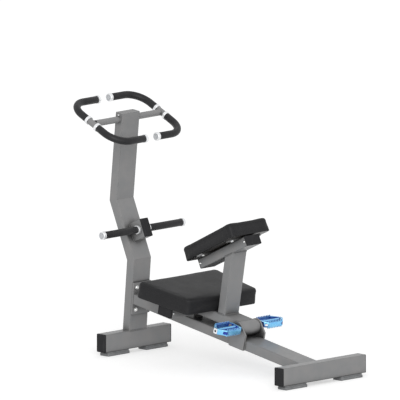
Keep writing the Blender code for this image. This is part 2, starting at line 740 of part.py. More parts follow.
def hoop_stations(side, lengthwise, start_across, end_lengthwise):
    """Centre points and tangents of a quarter of the hoop, from its opening to the side bar.

    lengthwise is -1 for the front half and 1 for the rear half.
    """
    turn_across = HOOP_HALF_WIDTH - HOOP_CORNER
    turn_length = HOOP_HALF_LENGTH - HOOP_CORNER
    stations = [((start_across, HOOP_HALF_LENGTH), (1.0, 0.0))]
    steps = 6
    for step in range(steps + 1):
        angle = math.radians(90) * step / steps
        point = (turn_across + HOOP_CORNER * math.sin(angle), turn_length + HOOP_CORNER * math.cos(angle))
        stations.append((point, (math.cos(angle), -math.sin(angle))))
    stations.append(((HOOP_HALF_WIDTH, end_lengthwise), (0.0, -1.0)))
    return [((side * x, lengthwise * y), (side * tx, lengthwise * ty)) for (x, y), (tx, ty) in stations]


def bent_rings(stations, radius, sides=BAR_SIDES):
    rings = []
    for (x, y), (tangent_x, tangent_y) in stations:
        ring = []
        for a, b in circle(radius, sides):
            ring.append(Vector((x - tangent_y * a, y + tangent_x * a, b)))
        rings.append(ring)
    return rings


def bent_tube(stations, outer, inner):
    return tube_wall(bent_rings(stations, outer), bent_rings(stations, inner))


def end_cap_rings(place, sign, face, centre=(0.0, 0.0)):
    """Bright cup over a bar's end, with a round recess in its face; sign points outwards."""
    profile = [
        (SLEEVE_BORE, face - sign * 3.2),
        (SLEEVE_BORE, face - sign * COLLAR_LENGTH),
        (COLLAR_RADIUS, face - sign * COLLAR_LENGTH),
        (COLLAR_RADIUS, face - sign * 1.5),
        (COLLAR_RADIUS - 1.5, face),
        (12.0, face),
        (11.0, face - sign * 1.6),
    ]
    return solid([place(circle(radius, BAR_SIDES, centre), at) for radius, at in profile])


def sleeve_rings(place, radius, start, end, centre=(0.0, 0.0)):
    outer = circle(radius, BAR_SIDES, centre)
    inner = circle(SLEEVE_BORE, BAR_SIDES, centre)
    return tube_wall([place(outer, start), place(outer, end)], [place(inner, start), place(inner, end)])


def make_hoop():
    hoop = frame_at("hoop_frame", HOOP_FORWARD, HOOP_HEIGHT, HOOP_SLOPE)
    reach = HOOP_HALF_WIDTH - 8.0
    outer = circle(BAR_RADIUS, BAR_SIDES)
    inner = circle(BAR_BORE, BAR_SIDES)
    ends = (-reach, reach)
    wall = tube_wall([ring_x(outer, x) for x in ends], [ring_x(inner, x) for x in ends])
    cross = piece("handle_cross_tube", wall, "powder_coated_steel", hoop)
    copes = [rod_y(BAR_RADIUS + 2 * GAP, -40.0, 40.0, side * HOOP_HALF_WIDTH, 0.0, BAR_SIDES)
             for side, _ in SIDES]
    boolean(cross, cutter("cross_tube_copes", copes, hoop))

    bar_end = HOOP_GAP + 3.5
    grip_start = HOOP_GAP + COLLAR_LENGTH + GAP
    grip_end = HOOP_BARE + COLLAR_LENGTH + GAP
    for side, side_name in SIDES:
        front_half = hoop_stations(side, -1, bar_end, 0.0)
        rear_half = hoop_stations(side, 1, bar_end, 0.0)
        turned = [(point, (-tx, -ty)) for point, (tx, ty) in rear_half[::-1]]
        bar = bent_tube(front_half[:-1] + turned[1:], BAR_RADIUS, BAR_BORE)
        piece(f"hoop_bar_{side_name}", bar, "powder_coated_steel", hoop)
        for lengthwise, end_name in ((-1, "front"), (1, "rear")):
            grip = bent_tube(hoop_stations(side, lengthwise, grip_start, grip_end), GRIP_RADIUS, SLEEVE_BORE)
            piece(f"hoop_grip_{end_name}_{side_name}", grip, "grip_rubber", hoop)
            across = side * HOOP_HALF_WIDTH
            collar = sleeve_rings(ring_y, COLLAR_RADIUS, lengthwise * HOOP_BARE,
                                  lengthwise * (HOOP_BARE + COLLAR_LENGTH), (across, 0.0))
            piece(f"hoop_collar_{end_name}_{side_name}", collar, "bright_aluminium", hoop,
                  (across, lengthwise * HOOP_BARE, 0.0))
            edge = lengthwise * HOOP_HALF_LENGTH
            cap = end_cap_rings(ring_x, -side, side * HOOP_GAP, (edge, 0.0))
            place = (side * HOOP_GAP, edge, 0.0)
            piece(f"hoop_end_cap_{end_name}_{side_name}", cap, "bright_aluminium", hoop, place)


def make_mid_handle():
    """A stub welded on the column with a straight bar through it."""
    mid = column_frame("mid_handle_frame", 1, STUB_FORWARD, STUB_HEIGHT)
    axis = (-MID_BAR_OUT, 0.0)
    half = MID_BAR_HALF - 3.5
    outer = circle(BAR_RADIUS, BAR_SIDES, axis)
    inner = circle(BAR_BORE, BAR_SIDES, axis)
    ends = (-half, half)
    bar = tube_wall([ring_x(outer, x) for x in ends], [ring_x(inner, x) for x in ends])
    handle = piece("mid_handle_bar", bar, "powder_coated_steel", mid, (0.0, *axis))
    stub = box_tube(ring_y, STUB_WIDTH, STUB_TALL, -GAP, -STUB_LENGTH)
    boolean(handle, cutter("mid_handle_stub", [stub], mid), "UNION")
    bore = rod_x(BAR_BORE, -STUB_WIDTH, STUB_WIDTH, *axis, BAR_SIDES)
    boolean(handle, cutter("mid_handle_bore", [bore], mid))
    cap = cap_rings(ring_y, STUB_WIDTH, STUB_TALL, -1, -STUB_LENGTH, insert=8.0, thickness=4.0)
    piece("mid_handle_stub_cap", cap, "black_plastic", mid, (0.0, -STUB_LENGTH, 0.0))
    collar_start = STUB_WIDTH / 2 + GAP
    grip_start = collar_start + COLLAR_LENGTH + GAP
    grip_end = MID_BAR_HALF - COLLAR_LENGTH - GAP
    for side, side_name in SIDES:
        grip = sleeve_rings(ring_x, GRIP_RADIUS, side * grip_start, side * grip_end, axis)
        piece(f"mid_grip_{side_name}", grip, "grip_rubber", mid, (0.0, *axis))
        collar_end = collar_start + COLLAR_LENGTH
        collar = sleeve_rings(ring_x, COLLAR_RADIUS, side * collar_start, side * collar_end, axis)
        piece(f"mid_collar_{side_name}", collar, "bright_aluminium", mid, (0.0, *axis))
        cap = end_cap_rings(ring_x, side, side * MID_BAR_HALF, axis)
        piece(f"mid_end_cap_{side_name}", cap, "bright_aluminium", mid, (side * MID_BAR_HALF, *axis))


# Pedals: the frame's origin is on the pedal axis

def cage_plan(near, far, half, taper, end_half, notch, sign):
    """An eight-sided plan that narrows to end_half at its outer end, with its inner corners cut back."""
    points = [(near, notch - half), (near + notch, -half), (far - taper, -half), (far, -end_half),
              (far, end_half), (far - taper, half), (near + notch, half), (near, half - notch)]
    return [(sign * x, y) for x, y in points]


def square(centre, half):
    x, y = centre
    return [(x - half, y - half), (x + half, y - half), (x + half, y + half), (x - half, y + half)]


def make_pedal(sign, side_name):
    height = PIVOT_HEIGHT + PEDAL_ABOVE * math.cos(BEAM_SLOPE) - PEDAL_ALONG * math.sin(BEAM_SLOPE)
    forward = PIVOT_FORWARD + PEDAL_ALONG * math.cos(BEAM_SLOPE) + PEDAL_ABOVE * math.sin(BEAM_SLOPE)
    axis = frame_at(f"pedal_axis_{side_name}", forward, height, PEDAL_TILTS[side_name])
    edge = PEDAL_HALF_HEIGHT
    brow = edge - PEDAL_CHAMFER
    near, far, half = PEDAL_INNER, PEDAL_OUTER, PEDAL_HALF_DEPTH
    full = cage_plan(near, far, half, PEDAL_TAPER, PEDAL_END_HALF, PEDAL_NOTCH, sign)
    slim = cage_plan(near + PEDAL_CHAMFER, far - PEDAL_CHAMFER, half - PEDAL_CHAMFER, PEDAL_TAPER,
                     PEDAL_END_HALF, PEDAL_NOTCH, sign)
    window = cage_plan(near + PEDAL_PLATE, far - PEDAL_WINDOW_END, half - PEDAL_RAIL, PEDAL_WINDOW_TAPER,
                       PEDAL_END_HALF - 3, 1.0, sign)
    rings = [
        ring_z(full, -brow),
        ring_z(full, brow),
        ring_z(slim, edge),
        ring_z(window, edge),
        ring_z(window, -edge),
        ring_z(slim, -edge),
    ]
    cage = piece(f"pedal_{side_name}", hollow(rings), "blue_anodised_aluminium", axis)
    barrel = rod_x(PEDAL_BARREL_RADIUS, sign * (near + 4), sign * (far - 4))
    boolean(cage, cutter(f"pedal_barrel_{side_name}", [barrel], axis), "UNION")
    bore = rod_x(PEDAL_BORE, sign * (near - 6), sign * (far + 6))
    boolean(cage, cutter(f"pedal_bore_{side_name}", [bore], axis))
    mouth = rod_x(PEDAL_MOUTH, sign * (far - PEDAL_MOUTH_DEPTH), sign * (far + 6))
    boolean(cage, cutter(f"pedal_mouth_{side_name}", [mouth], axis))
    boolean(cage, cutter(f"pedal_teeth_{side_name}", pedal_teeth(sign), axis), "UNION")
    piece(f"pedal_spindle_{side_name}", spindle_body(sign), "turned_steel", axis)


def pedal_teeth(sign):
    """Pointed studs in rows along the front and rear rails, above and below."""
    teeth = []
    for i in range(TOOTH_COUNT):
        along = sign * (TOOTH_FIRST + i * TOOTH_PITCH)
        for row in (-TOOTH_ROW, TOOTH_ROW):
            for level in (-1, 1):
                foot = ring_z(square((along, row), TOOTH_BASE), level * (PEDAL_HALF_HEIGHT - 1))
                tip = ring_z(square((along, row), TOOTH_TIP), level * (PEDAL_HALF_HEIGHT + TOOTH_HEIGHT))
                teeth.append(solid([foot, tip]))
    return teeth


def spindle_body(sign):
    """Threaded end in the cheek, a collar against it, and the axle that the pedal turns on."""
    cheek = BEAM_WIDTH / 2 + GAP + CHEEK_THICKNESS
    profile = [
        (THREAD_RADIUS, cheek - CHEEK_THICKNESS + 0.5),
        (THREAD_RADIUS, cheek + GAP),
        (SPINDLE_COLLAR, cheek + GAP),
        (SPINDLE_COLLAR, cheek + 4),
        (SPINDLE_NECK, cheek + 5),
        (SPINDLE_NECK, PEDAL_INNER - 2),
        (AXLE_RADIUS, PEDAL_INNER - 1),
        (AXLE_RADIUS, PEDAL_OUTER - AXLE_END),
    ]
    return solid([ring_x(circle(radius, 16), sign * x) for radius, x in profile])


def main():
    clear_scene()
    make_foot("rear", REAR_FOOT_LENGTH, 0.0)
    make_foot("front", FRONT_FOOT_LENGTH, FRONT_FOOT_FACE)
    line = frame_at("beam_line", PIVOT_FORWARD, PIVOT_HEIGHT, BEAM_SLOPE)
    bolt_holes = make_beam(line)
    make_column(bolt_holes)
    make_cheeks(line)
    make_bumper(line)
    make_hoop()
    make_mid_handle()

    rocker = frame_at("rocker_axis", PIVOT_FORWARD, PIVOT_HEIGHT, BEAM_SLOPE)
    make_rail(rocker)
    make_housing(rocker)
    make_post(rocker)
    make_pad("seat", seat_outline, RAIL_TOP + GAP, SEAT_THICKNESS, SEAT_CROWN, rocker)
    along, above = beam_coordinates(SADDLE_FORWARD, SADDLE_HEIGHT)
    saddle = frame_at("saddle_frame", 0.0, 0.0, -SADDLE_SLOPE - BEAM_SLOPE, rocker, (0.0, -along, above))
    make_saddle(saddle)

    for side, side_name in SIDES:
        make_pedal(side, side_name)


main()
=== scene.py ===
"""Looks of the stretching machine: pads, grips, fittings, pedals, welds, finishes, light and camera."""
import math

import bmesh
import bpy
from mathutils import Matrix, Vector


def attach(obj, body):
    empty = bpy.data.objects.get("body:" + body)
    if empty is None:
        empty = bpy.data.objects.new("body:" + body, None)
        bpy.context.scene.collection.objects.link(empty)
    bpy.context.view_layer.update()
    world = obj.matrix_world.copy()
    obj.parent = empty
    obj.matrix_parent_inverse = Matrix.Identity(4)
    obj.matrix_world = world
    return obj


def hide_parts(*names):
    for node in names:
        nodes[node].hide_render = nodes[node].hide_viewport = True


MM = 0.001
GAP = 0.3                      # clearance between touching pieces
SIDES = ((-1, "left"), (1, "right"))

# The machine's measures that the new pieces are fitted to, in millimetres and degrees as in the CAD model
ORIGIN_FORWARD = 509.93
PIVOT = (745.0, 210.0)
BEAM_SLOPE = 9.87
SADDLE_FOOT = (477.4, 474.3)
SADDLE_SLOPE = 25.6
HOOP_CENTRE = (-77.0, 1145.0)
HOOP_SLOPE = 25.0
STUB_CENTRE = (-22.7, 588.5)
STUB_SLOPE = -23.12
COLUMN_FOOT = (0.0, 110.6)
COLUMN_SLOPES = (4.84, -23.12, 5.64)
PEDAL_AXIS = (755.82, 224.36)
PEDAL_TILTS = {"left": 15.0, "right": 8.0}
COLUMN_TUBE = (120.0, 50.0)    # the tubes' sections, width first
FOOT_TUBE = (60.0, 90.0)
CROSS_TUBE = (88.0, 50.0)
SUPPORT_TUBE = (100.0, 50.0)   # the rail and the post too
STUB = (54.0, 93.0)

# The photograph's view: parallel, from the machine's front left, 10 degrees above the floor
VIEW_AZIMUTH = -45.0
VIEW_ELEVATION = 10.0
VIEW_AIM = (0.0, 0.0859, 0.802)
VIEW_DISTANCE = 8.0
VIEW_WIDTH = 1.946

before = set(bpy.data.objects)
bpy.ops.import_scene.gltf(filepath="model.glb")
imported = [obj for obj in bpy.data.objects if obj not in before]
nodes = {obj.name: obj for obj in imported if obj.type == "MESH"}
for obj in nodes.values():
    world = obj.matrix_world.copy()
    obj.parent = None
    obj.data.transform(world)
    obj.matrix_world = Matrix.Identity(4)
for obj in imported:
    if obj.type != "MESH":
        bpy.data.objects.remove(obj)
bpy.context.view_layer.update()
finishes = {}                  # material by the name of its slot


def slope_frame(forward, height, degrees):
    """A frame whose -Y runs forwards along a slope and whose Z is square to it."""
    place = Matrix.Translation((0.0, (ORIGIN_FORWARD - forward) * MM, height * MM))
    return place @ Matrix.Rotation(math.radians(degrees), 4, "X")


ROCKER = slope_frame(*PIVOT, BEAM_SLOPE)
SADDLE = slope_frame(*SADDLE_FOOT, -SADDLE_SLOPE)
HOOP = slope_frame(*HOOP_CENTRE, HOOP_SLOPE)
MID_HANDLE = slope_frame(*STUB_CENTRE, STUB_SLOPE)
FLANGE = slope_frame(*COLUMN_FOOT, COLUMN_SLOPES[0])
PEDALS = {side_name: slope_frame(*PEDAL_AXIS, tilt) for side_name, tilt in PEDAL_TILTS.items()}


# Light, floor and camera

def towards(azimuth, elevation):
    """The direction from the machine to a place seen at these angles, 0 being straight in front."""
    turn = math.radians(azimuth)
    rise = math.radians(elevation)
    return Vector((math.sin(turn) * math.cos(rise), -math.cos(turn) * math.cos(rise), math.sin(rise)))


def place_camera():
    back = towards(VIEW_AZIMUTH, VIEW_ELEVATION)
    bpy.ops.object.camera_add(location=Vector(VIEW_AIM) + back * VIEW_DISTANCE)
    camera = bpy.context.object
    camera.name = "photo_camera"
    camera.rotation_mode = "QUATERNION"
    camera.rotation_quaternion = (-back).to_track_quat("-Z", "Y")
    camera.data.type = "ORTHO"
    camera.data.ortho_scale = VIEW_WIDTH
    camera.data.clip_end = 100.0
    bpy.context.scene.camera = camera


def place_sun(name, azimuth, elevation, strength, spread):
    bpy.ops.object.light_add(type="SUN")
    lamp = bpy.context.object
    lamp.name = name
    lamp.rotation_euler = (-towards(azimuth, elevation)).to_track_quat("-Z", "Y").to_euler()
    lamp.data.energy = strength
    lamp.data.angle = math.radians(spread)


def linear(hex_colour):
    """sRGB hex to the linear colour that a socket holds."""
    values = [int(hex_colour[i:i + 2], 16) / 255 for i in (0, 2, 4)]
    return [v / 12.92 if v <= 0.04045 else ((v + 0.055) / 1.055) ** 2.4 for v in values] + [1.0]


def add_node(tree, kind, inputs=None, **settings):
    """Adds a node. Inputs maps a socket to its value, its sRGB hex colour, or what feeds it: an output, or a
    node for its first output."""
    node = tree.nodes.new(kind)
    for name, value in settings.items():
        setattr(node, name, value)
    for socket, value in (inputs or {}).items():
        if isinstance(value, bpy.types.Node):
            tree.links.new(value.outputs[0], node.inputs[socket])
        elif isinstance(value, bpy.types.NodeSocket):
            tree.links.new(value, node.inputs[socket])
        elif isinstance(value, str):
            node.inputs[socket].default_value = linear(value)
        else:
            node.inputs[socket].default_value = value
    return node


def seen_directly(tree):
    """1 where the camera sees a place, itself or in a mirror or glass, and 0 where it only lights others."""
    path = add_node(tree, "ShaderNodeLightPath").outputs
    seen = add_node(tree, "ShaderNodeMath", {0: path["Is Camera Ray"], 1: path["Is Glossy Ray"]},
                    operation="MAXIMUM")
    return add_node(tree, "ShaderNodeMath", {0: seen, 1: path["Is Transmission Ray"]},
                    operation="MAXIMUM").outputs[0]


def light_world():
    """Pale studio surroundings: white where they are seen, also in a mirror, and softer where they light."""
    world = bpy.data.worlds.new("studio")
    bpy.context.scene.world = world
    world.use_nodes = True
    tree = world.node_tree
    tree.nodes.clear()
    soft = add_node(tree, "ShaderNodeBackground", {"Color": "FFFFFF", "Strength": 0.58})
    white = add_node(tree, "ShaderNodeBackground", {"Color": "FFFFFF", "Strength": 1.0})
    mixed = add_node(tree, "ShaderNodeMixShader", {0: seen_directly(tree), 1: soft, 2: white})
    add_node(tree, "ShaderNodeOutputWorld", {"Surface": mixed})


def place_floor():
    """A matt pale floor that reads as white where it is seen and still takes the machine's shadow."""
    bpy.ops.mesh.primitive_plane_add(size=120.0)
    floor = bpy.context.object
    floor.name = "studio_floor"
    material = bpy.data.materials.new("matt_white_floor")
    material.use_nodes = True
    tree = material.node_tree
    tree.nodes.clear()
    paint = add_node(tree, "ShaderNodeBsdfDiffuse", {"Color": "E0E0E0"})
    glow = add_node(tree, "ShaderNodeEmission", {"Color": "FFFFFF", "Strength": 0.5})
    both = add_node(tree, "ShaderNodeAddShader", {0: paint, 1: glow})
    mixed = add_node(tree, "ShaderNodeMixShader", {0: seen_directly(tree), 1: paint, 2: both})
    add_node(tree, "ShaderNodeOutputMaterial", {"Surface": mixed})
    floor.data.materials.append(material)


# Materials

def start_material(name, colour, roughness, metallic=0.0, ior=None, gloss=0.5):
    """A material with the shader's constants set on its own sockets."""
    material = bpy.data.materials.new(name)
    material.use_nodes = True
    tree = material.node_tree
    shader = tree.nodes["Principled BSDF"]
    shader.inputs["Base Color"].default_value = linear(colour)
    shader.inputs["Roughness"].default_value = roughness
    shader.inputs["Metallic"].default_value = metallic
    if ior:
        shader.inputs["IOR"].default_value = ior
    shader.inputs["Specular IOR Level"].default_value = gloss
    where = add_node(tree, "ShaderNodeTexCoord").outputs["Object"]
    return material, tree, shader, where


def wire(tree, shader, colour, roughness, *bumps):
    """Feeds the shader its colour, its roughness where that wanders, and its bumps.

    Each bump is a height with its strength and its depth in millimetres.
    """
    tree.links.new(colour, shader.inputs["Base Color"])
    if roughness:
        tree.links.new(roughness, shader.inputs["Roughness"])
    normal = None
    for height, strength, depth in bumps:
        inputs = {"Strength": strength, "Distance": depth * MM, "Height": height}
        if normal:
            inputs["Normal"] = normal
        normal = add_node(tree, "ShaderNodeBump", inputs)
    tree.links.new(normal.outputs[0], shader.inputs["Normal"])


def cycles(size_mm):
    """A texture's scale for a pattern that repeats every size_mm millimetres."""
    return 1.0 / (size_mm * MM)


def patches(tree, where, size_mm, detail=2.0, low=0.0, high=1.0, start=0.3, end=0.7):
    """A value that wanders from low to high in soft patches. Start and end cut the noise: closer together
    they make the patches' edges harder."""
    noise = add_node(tree, "ShaderNodeTexNoise",
                     {"Vector": where, "Scale": cycles(size_mm), "Detail": detail})
    return add_node(tree, "ShaderNodeMapRange",
                    {0: noise, 1: start, 2: end, 3: low, 4: high}).outputs[0]


def rounded_edges(tree, radius_mm):
    """1 along sharp edges and 0 on open faces: a rounded copy of the surface turns away there."""
    rounded = add_node(tree, "ShaderNodeBevel", {"Radius": radius_mm * MM}, samples=4)
    real = add_node(tree, "ShaderNodeNewGeometry").outputs["Normal"]
    turn = add_node(tree, "ShaderNodeVectorMath", {0: rounded, 1: real}, operation="DOT_PRODUCT")
    return add_node(tree, "ShaderNodeMapRange",
                    {0: turn.outputs["Value"], 1: 0.88, 2: 0.995, 3: 1.0, 4: 0.0}).outputs[0]


def sheltered(tree, reach_mm, deepest):
    """0 on open faces, rising to 1 in recesses where no more than the deepest share of the sky is left."""
    sky = add_node(tree, "ShaderNodeAmbientOcclusion", {"Distance": reach_mm * MM}, samples=8)
    return add_node(tree, "ShaderNodeMapRange",
                    {0: sky.outputs["AO"], 1: deepest, 2: 0.9, 3: 1.0, 4: 0.0}).outputs[0]


def from_axis(tree, place):
    """How far a point lies from its piece's own axis, which runs along Z."""
    flat = add_node(tree, "ShaderNodeVectorMath", {0: place, 1: (1.0, 1.0, 0.0)}, operation="MULTIPLY")
    return add_node(tree, "ShaderNodeVectorMath", {0: flat}, operation="LENGTH").outputs["Value"]


def lathe_rings(tree, place, size_mm):
    """Fine rings round the piece's own axis, as a lathe tool leaves them."""
    along = add_node(tree, "ShaderNodeSeparateXYZ", {0: place}).outputs["Z"]
    path = add_node(tree, "ShaderNodeMath", {0: from_axis(tree, place), 1: along}, operation="ADD")
    turns = add_node(tree, "ShaderNodeMath", {0: path, 1: math.tau * cycles(size_mm)},
                     operation="MULTIPLY")
    wave = add_node(tree, "ShaderNodeMath", {0: turns}, operation="SINE")
    return add_node(tree, "ShaderNodeMapRange", {0: wave, 1: -1.0, 2: 1.0, 3: 0.0, 4: 1.0}).outputs[0]


def powder_coat():
    """Polyester powder sprayed on steel tube and baked: it melts to a grey satin skin with a faint orange
    peel, a little duller in patches. A darker line of painted shade runs along the edges, for the dark that
    rounded edges reflect, and painted shade darkens the corners and gaps where tubes meet.

    The real peel is 1 to 2 mm wide, too fine to show, so it is drawn 5 mm wide.
    """
    material, tree, shader, where = start_material("baked_grey_powder_coat", "888888", 0.36,
                                                   ior=1.5, gloss=0.33)
    body = add_node(tree, "ShaderNodeMix",
                    {0: patches(tree, where, 60.0, 3.0), 6: "828384", 7: "898888"}, data_type="RGBA")
    # Painted shade: corners and gaps where tubes meet darken towards 181817 where little sky reaches them.
    gaps = add_node(tree, "ShaderNodeMath", {0: sheltered(tree, 60.0, 0.38), 1: 0.9},
                    operation="MULTIPLY")
    shaded = add_node(tree, "ShaderNodeMix", {0: gaps, 6: body.outputs[2], 7: "181817"},
                      data_type="RGBA")
    # Painted shade: a darker line along the sharp edges, for the dark that rounded edges reflect.
    edges = add_node(tree, "ShaderNodeMath", {0: rounded_edges(tree, 3.0), 1: 0.5},
                     operation="MULTIPLY")
    colour = add_node(tree, "ShaderNodeMix", {0: edges, 6: shaded.outputs[2], 7: "3C3C3B"},
                      data_type="RGBA")
    peel = add_node(tree, "ShaderNodeTexNoise", {"Vector": where, "Scale": cycles(5.0), "Detail": 1.0})
    wire(tree, shader, colour.outputs[2], patches(tree, where, 18.0, low=0.32, high=0.42),
         (peel, 0.12, 0.25))
    return material


def moulded_polyethylene():
    """Black polyethylene injection-moulded in a spark-eroded mould: a dull even grain with a weak highlight,
    greyed by light scuffs. The real grain is 0.3 mm, too fine to show, so it is drawn at 2.5 mm."""
    material, tree, shader, where = start_material("spark_grained_black_polyethylene", "262628", 0.5,
                                                   ior=1.51, gloss=0.15)
    drawn_out = add_node(tree, "ShaderNodeMapping", {"Vector": where, "Scale": (1.0, 1.0, 0.25)})
    scuffs = patches(tree, drawn_out.outputs[0], 22.0, 6.0, start=0.55, end=0.75)
    colour = add_node(tree, "ShaderNodeMix", {0: scuffs, 6: "242426", 7: "343436"}, data_type="RGBA")
    grain = add_node(tree, "ShaderNodeTexNoise", {"Vector": where, "Scale": cycles(2.5), "Detail": 2.0})
    wire(tree, shader, colour.outputs[2], patches(tree, where, 12.0, low=0.45, high=0.6),
         (grain, 0.2, 0.2))
    return material


def foam_rubber():
    """Nitrile foam sleeve, ground to size: burst cells make it deep black and matt, with a dusty bloom and
    soft shallow waves from the grinding. The real cells are 0.4 mm, too fine to show, so they are drawn at
    2 mm."""
    material, tree, shader, where = start_material("ground_black_nitrile_foam", "262628", 0.5,
                                                   ior=1.52, gloss=0.2)
    shader.inputs["Sheen Weight"].default_value = 0.04
    shader.inputs["Sheen Roughness"].default_value = 0.6
    shader.inputs["Sheen Tint"].default_value = linear("9A9A9E")
    bloom = patches(tree, where, 26.0, 4.0)
    colour = add_node(tree, "ShaderNodeMix", {0: bloom, 6: "222224", 7: "2A2A2B"}, data_type="RGBA")
    waves = add_node(tree, "ShaderNodeTexNoise", {"Vector": where, "Scale": cycles(14.0), "Detail": 1.0})
    cells = add_node(tree, "ShaderNodeTexNoise", {"Vector": where, "Scale": cycles(2.0), "Detail": 2.0})
    wire(tree, shader, colour.outputs[2], patches(tree, where, 9.0, low=0.42, high=0.54),
         (waves, 0.2, 0.4), (cells, 0.2, 0.2))
    return material


def leathercloth():
    """PVC leathercloth: a vinyl skin on knitted backing, embossed with a pebble grain by a hot roller and
    lacquered satin. The pebbles break the highlight into a soft sheen, the valleys stay darker, and the
    stretch over the foam leaves shallow ripples. The real pebbles are 1 mm, too fine to show, so they are
    drawn at 3 mm."""
    material, tree, shader, where = start_material("embossed_black_leathercloth", "2B2B2C", 0.45,
                                                   ior=1.53, gloss=0.13)
    pebbles = add_node(tree, "ShaderNodeTexVoronoi",
                       {"Vector": where, "Scale": cycles(3.0), "Randomness": 0.9},
                       feature="DISTANCE_TO_EDGE").outputs["Distance"]
    rise = add_node(tree, "ShaderNodeMapRange", {0: pebbles, 1: 0.0, 2: 0.25, 3: 0.0, 4: 1.0})
    skin = add_node(tree, "ShaderNodeMix",
                    {0: patches(tree, where, 70.0, 3.0), 6: "2A2A2B", 7: "2D2D2E"}, data_type="RGBA")
    colour = add_node(tree, "ShaderNodeMix", {0: rise, 6: "202022", 7: skin.outputs[2]},
                      data_type="RGBA")
    ripples = add_node(tree, "ShaderNodeTexNoise",
                       {"Vector": where, "Scale": cycles(90.0), "Detail": 1.0})
    wire(tree, shader, colour.outputs[2], patches(tree, where, 60.0, low=0.46, high=0.5),
         (ripples, 0.06, 2.0), (rise, 0.3, 0.15))
    return material


def turned_aluminium():
    """Aluminium bar turned on a lathe, etched and clear anodised: a pale satin metal broken into rings, its
    thin clear film milky enough to look almost white in soft light. The dished ends are coloured a duller
    grey and made rougher. The lathe tool's rings are 0.2 mm apart, too fine to show, so they are drawn 1.5
    mm apart."""
    material, tree, shader, where = start_material("turned_clear_anodised_aluminium", "E6E7E9", 0.24, 0.6)
    place = add_node(tree, "ShaderNodeAttribute", attribute_name="own_place").outputs["Vector"]
    dish = (COLLAR_RADIUS - CUP_LIP) * MM
    # The dished face inside the cup's lip is coloured a duller grey and made rougher.
    on_dish_face = add_node(tree, "ShaderNodeMapRange",
                     {0: from_axis(tree, place), 1: dish, 2: dish + 0.6 * MM, 3: 1.0, 4: 0.0})
    dull = add_node(tree, "ShaderNodeMath", {0: on_dish_face, 1: 0.8}, operation="MULTIPLY")
    metal = add_node(tree, "ShaderNodeMix",
                     {0: patches(tree, where, 14.0, 4.0), 6: "E8E9EB", 7: "F2F3F4"}, data_type="RGBA")
    colour = add_node(tree, "ShaderNodeMix", {0: dull, 6: metal.outputs[2], 7: "ADAFB2"},
                      data_type="RGBA")
    roughness = add_node(tree, "ShaderNodeMapRange", {0: on_dish_face, 1: 0.0, 2: 1.0, 3: 0.26, 4: 0.42})
    wire(tree, shader, colour.outputs[2], roughness.outputs[0],
         (lathe_rings(tree, place, 1.5), 0.1, 0.04))
    return material


def bright_zinc():
    """Steel fasteners electroplated with zinc and clear-passivated: a cool grey mirror with a faint straw
    tint in patches and a slightly frosted skin."""
    material, tree, shader, where = start_material("clear_passivated_zinc", "D8DADD", 0.28, 1.0)
    straw = patches(tree, where, 7.0, 3.0)
    colour = add_node(tree, "ShaderNodeMix", {0: straw, 6: "D2D5DA", 7: "E0DED6"}, data_type="RGBA")
    frost = add_node(tree, "ShaderNodeTexNoise", {"Vector": where, "Scale": cycles(2.0), "Detail": 2.0})
    wire(tree, shader, colour.outputs[2], patches(tree, where, 4.0, low=0.22, high=0.36),
         (frost, 0.1, 0.05))
    return material


def turned_shaft():
    """Free-cutting steel turned to size and oiled: mid grey with fine rings across its length and darker
    oily bands. The rings are drawn 1.5 mm apart, because the real 0.2 mm ones are too fine to show."""
    material, tree, shader, where = start_material("turned_oiled_steel", "8C8E92", 0.34, 1.0)
    banded = add_node(tree, "ShaderNodeMapping", {"Vector": where, "Scale": (1.0, 0.3, 0.3)})
    oil = patches(tree, banded.outputs[0], 16.0, 3.0)
    colour = add_node(tree, "ShaderNodeMix", {0: oil, 6: "6E6F72", 7: "9C9EA2"}, data_type="RGBA")
    across = add_node(tree, "ShaderNodeMapping", {"Vector": where, "Scale": (1.0, 0.02, 0.02)})
    rings = add_node(tree, "ShaderNodeTexNoise", {"Vector": across, "Scale": cycles(1.5), "Detail": 1.0})
    wire(tree, shader, colour.outputs[2], patches(tree, where, 6.0, low=0.26, high=0.42),
         (rings, 0.2, 0.06))
    return material


def sintered_bronze():
    """Bronze powder pressed and sintered, soaked with oil: a dull brownish gold speckled with dark pores.
    The pores are 0.1 mm, too fine to show, so they are drawn at 1.2 mm."""
    material, tree, shader, where = start_material("oil_soaked_sintered_bronze", "A0763F", 0.45, 1.0)
    pores = patches(tree, where, 1.2, 1.0, start=0.35, end=0.5)
    colour = add_node(tree, "ShaderNodeMix", {0: pores, 6: "5E4526", 7: "A87B42"}, data_type="RGBA")
    wire(tree, shader, colour.outputs[2], None, (pores, 0.3, 0.08))
    return material


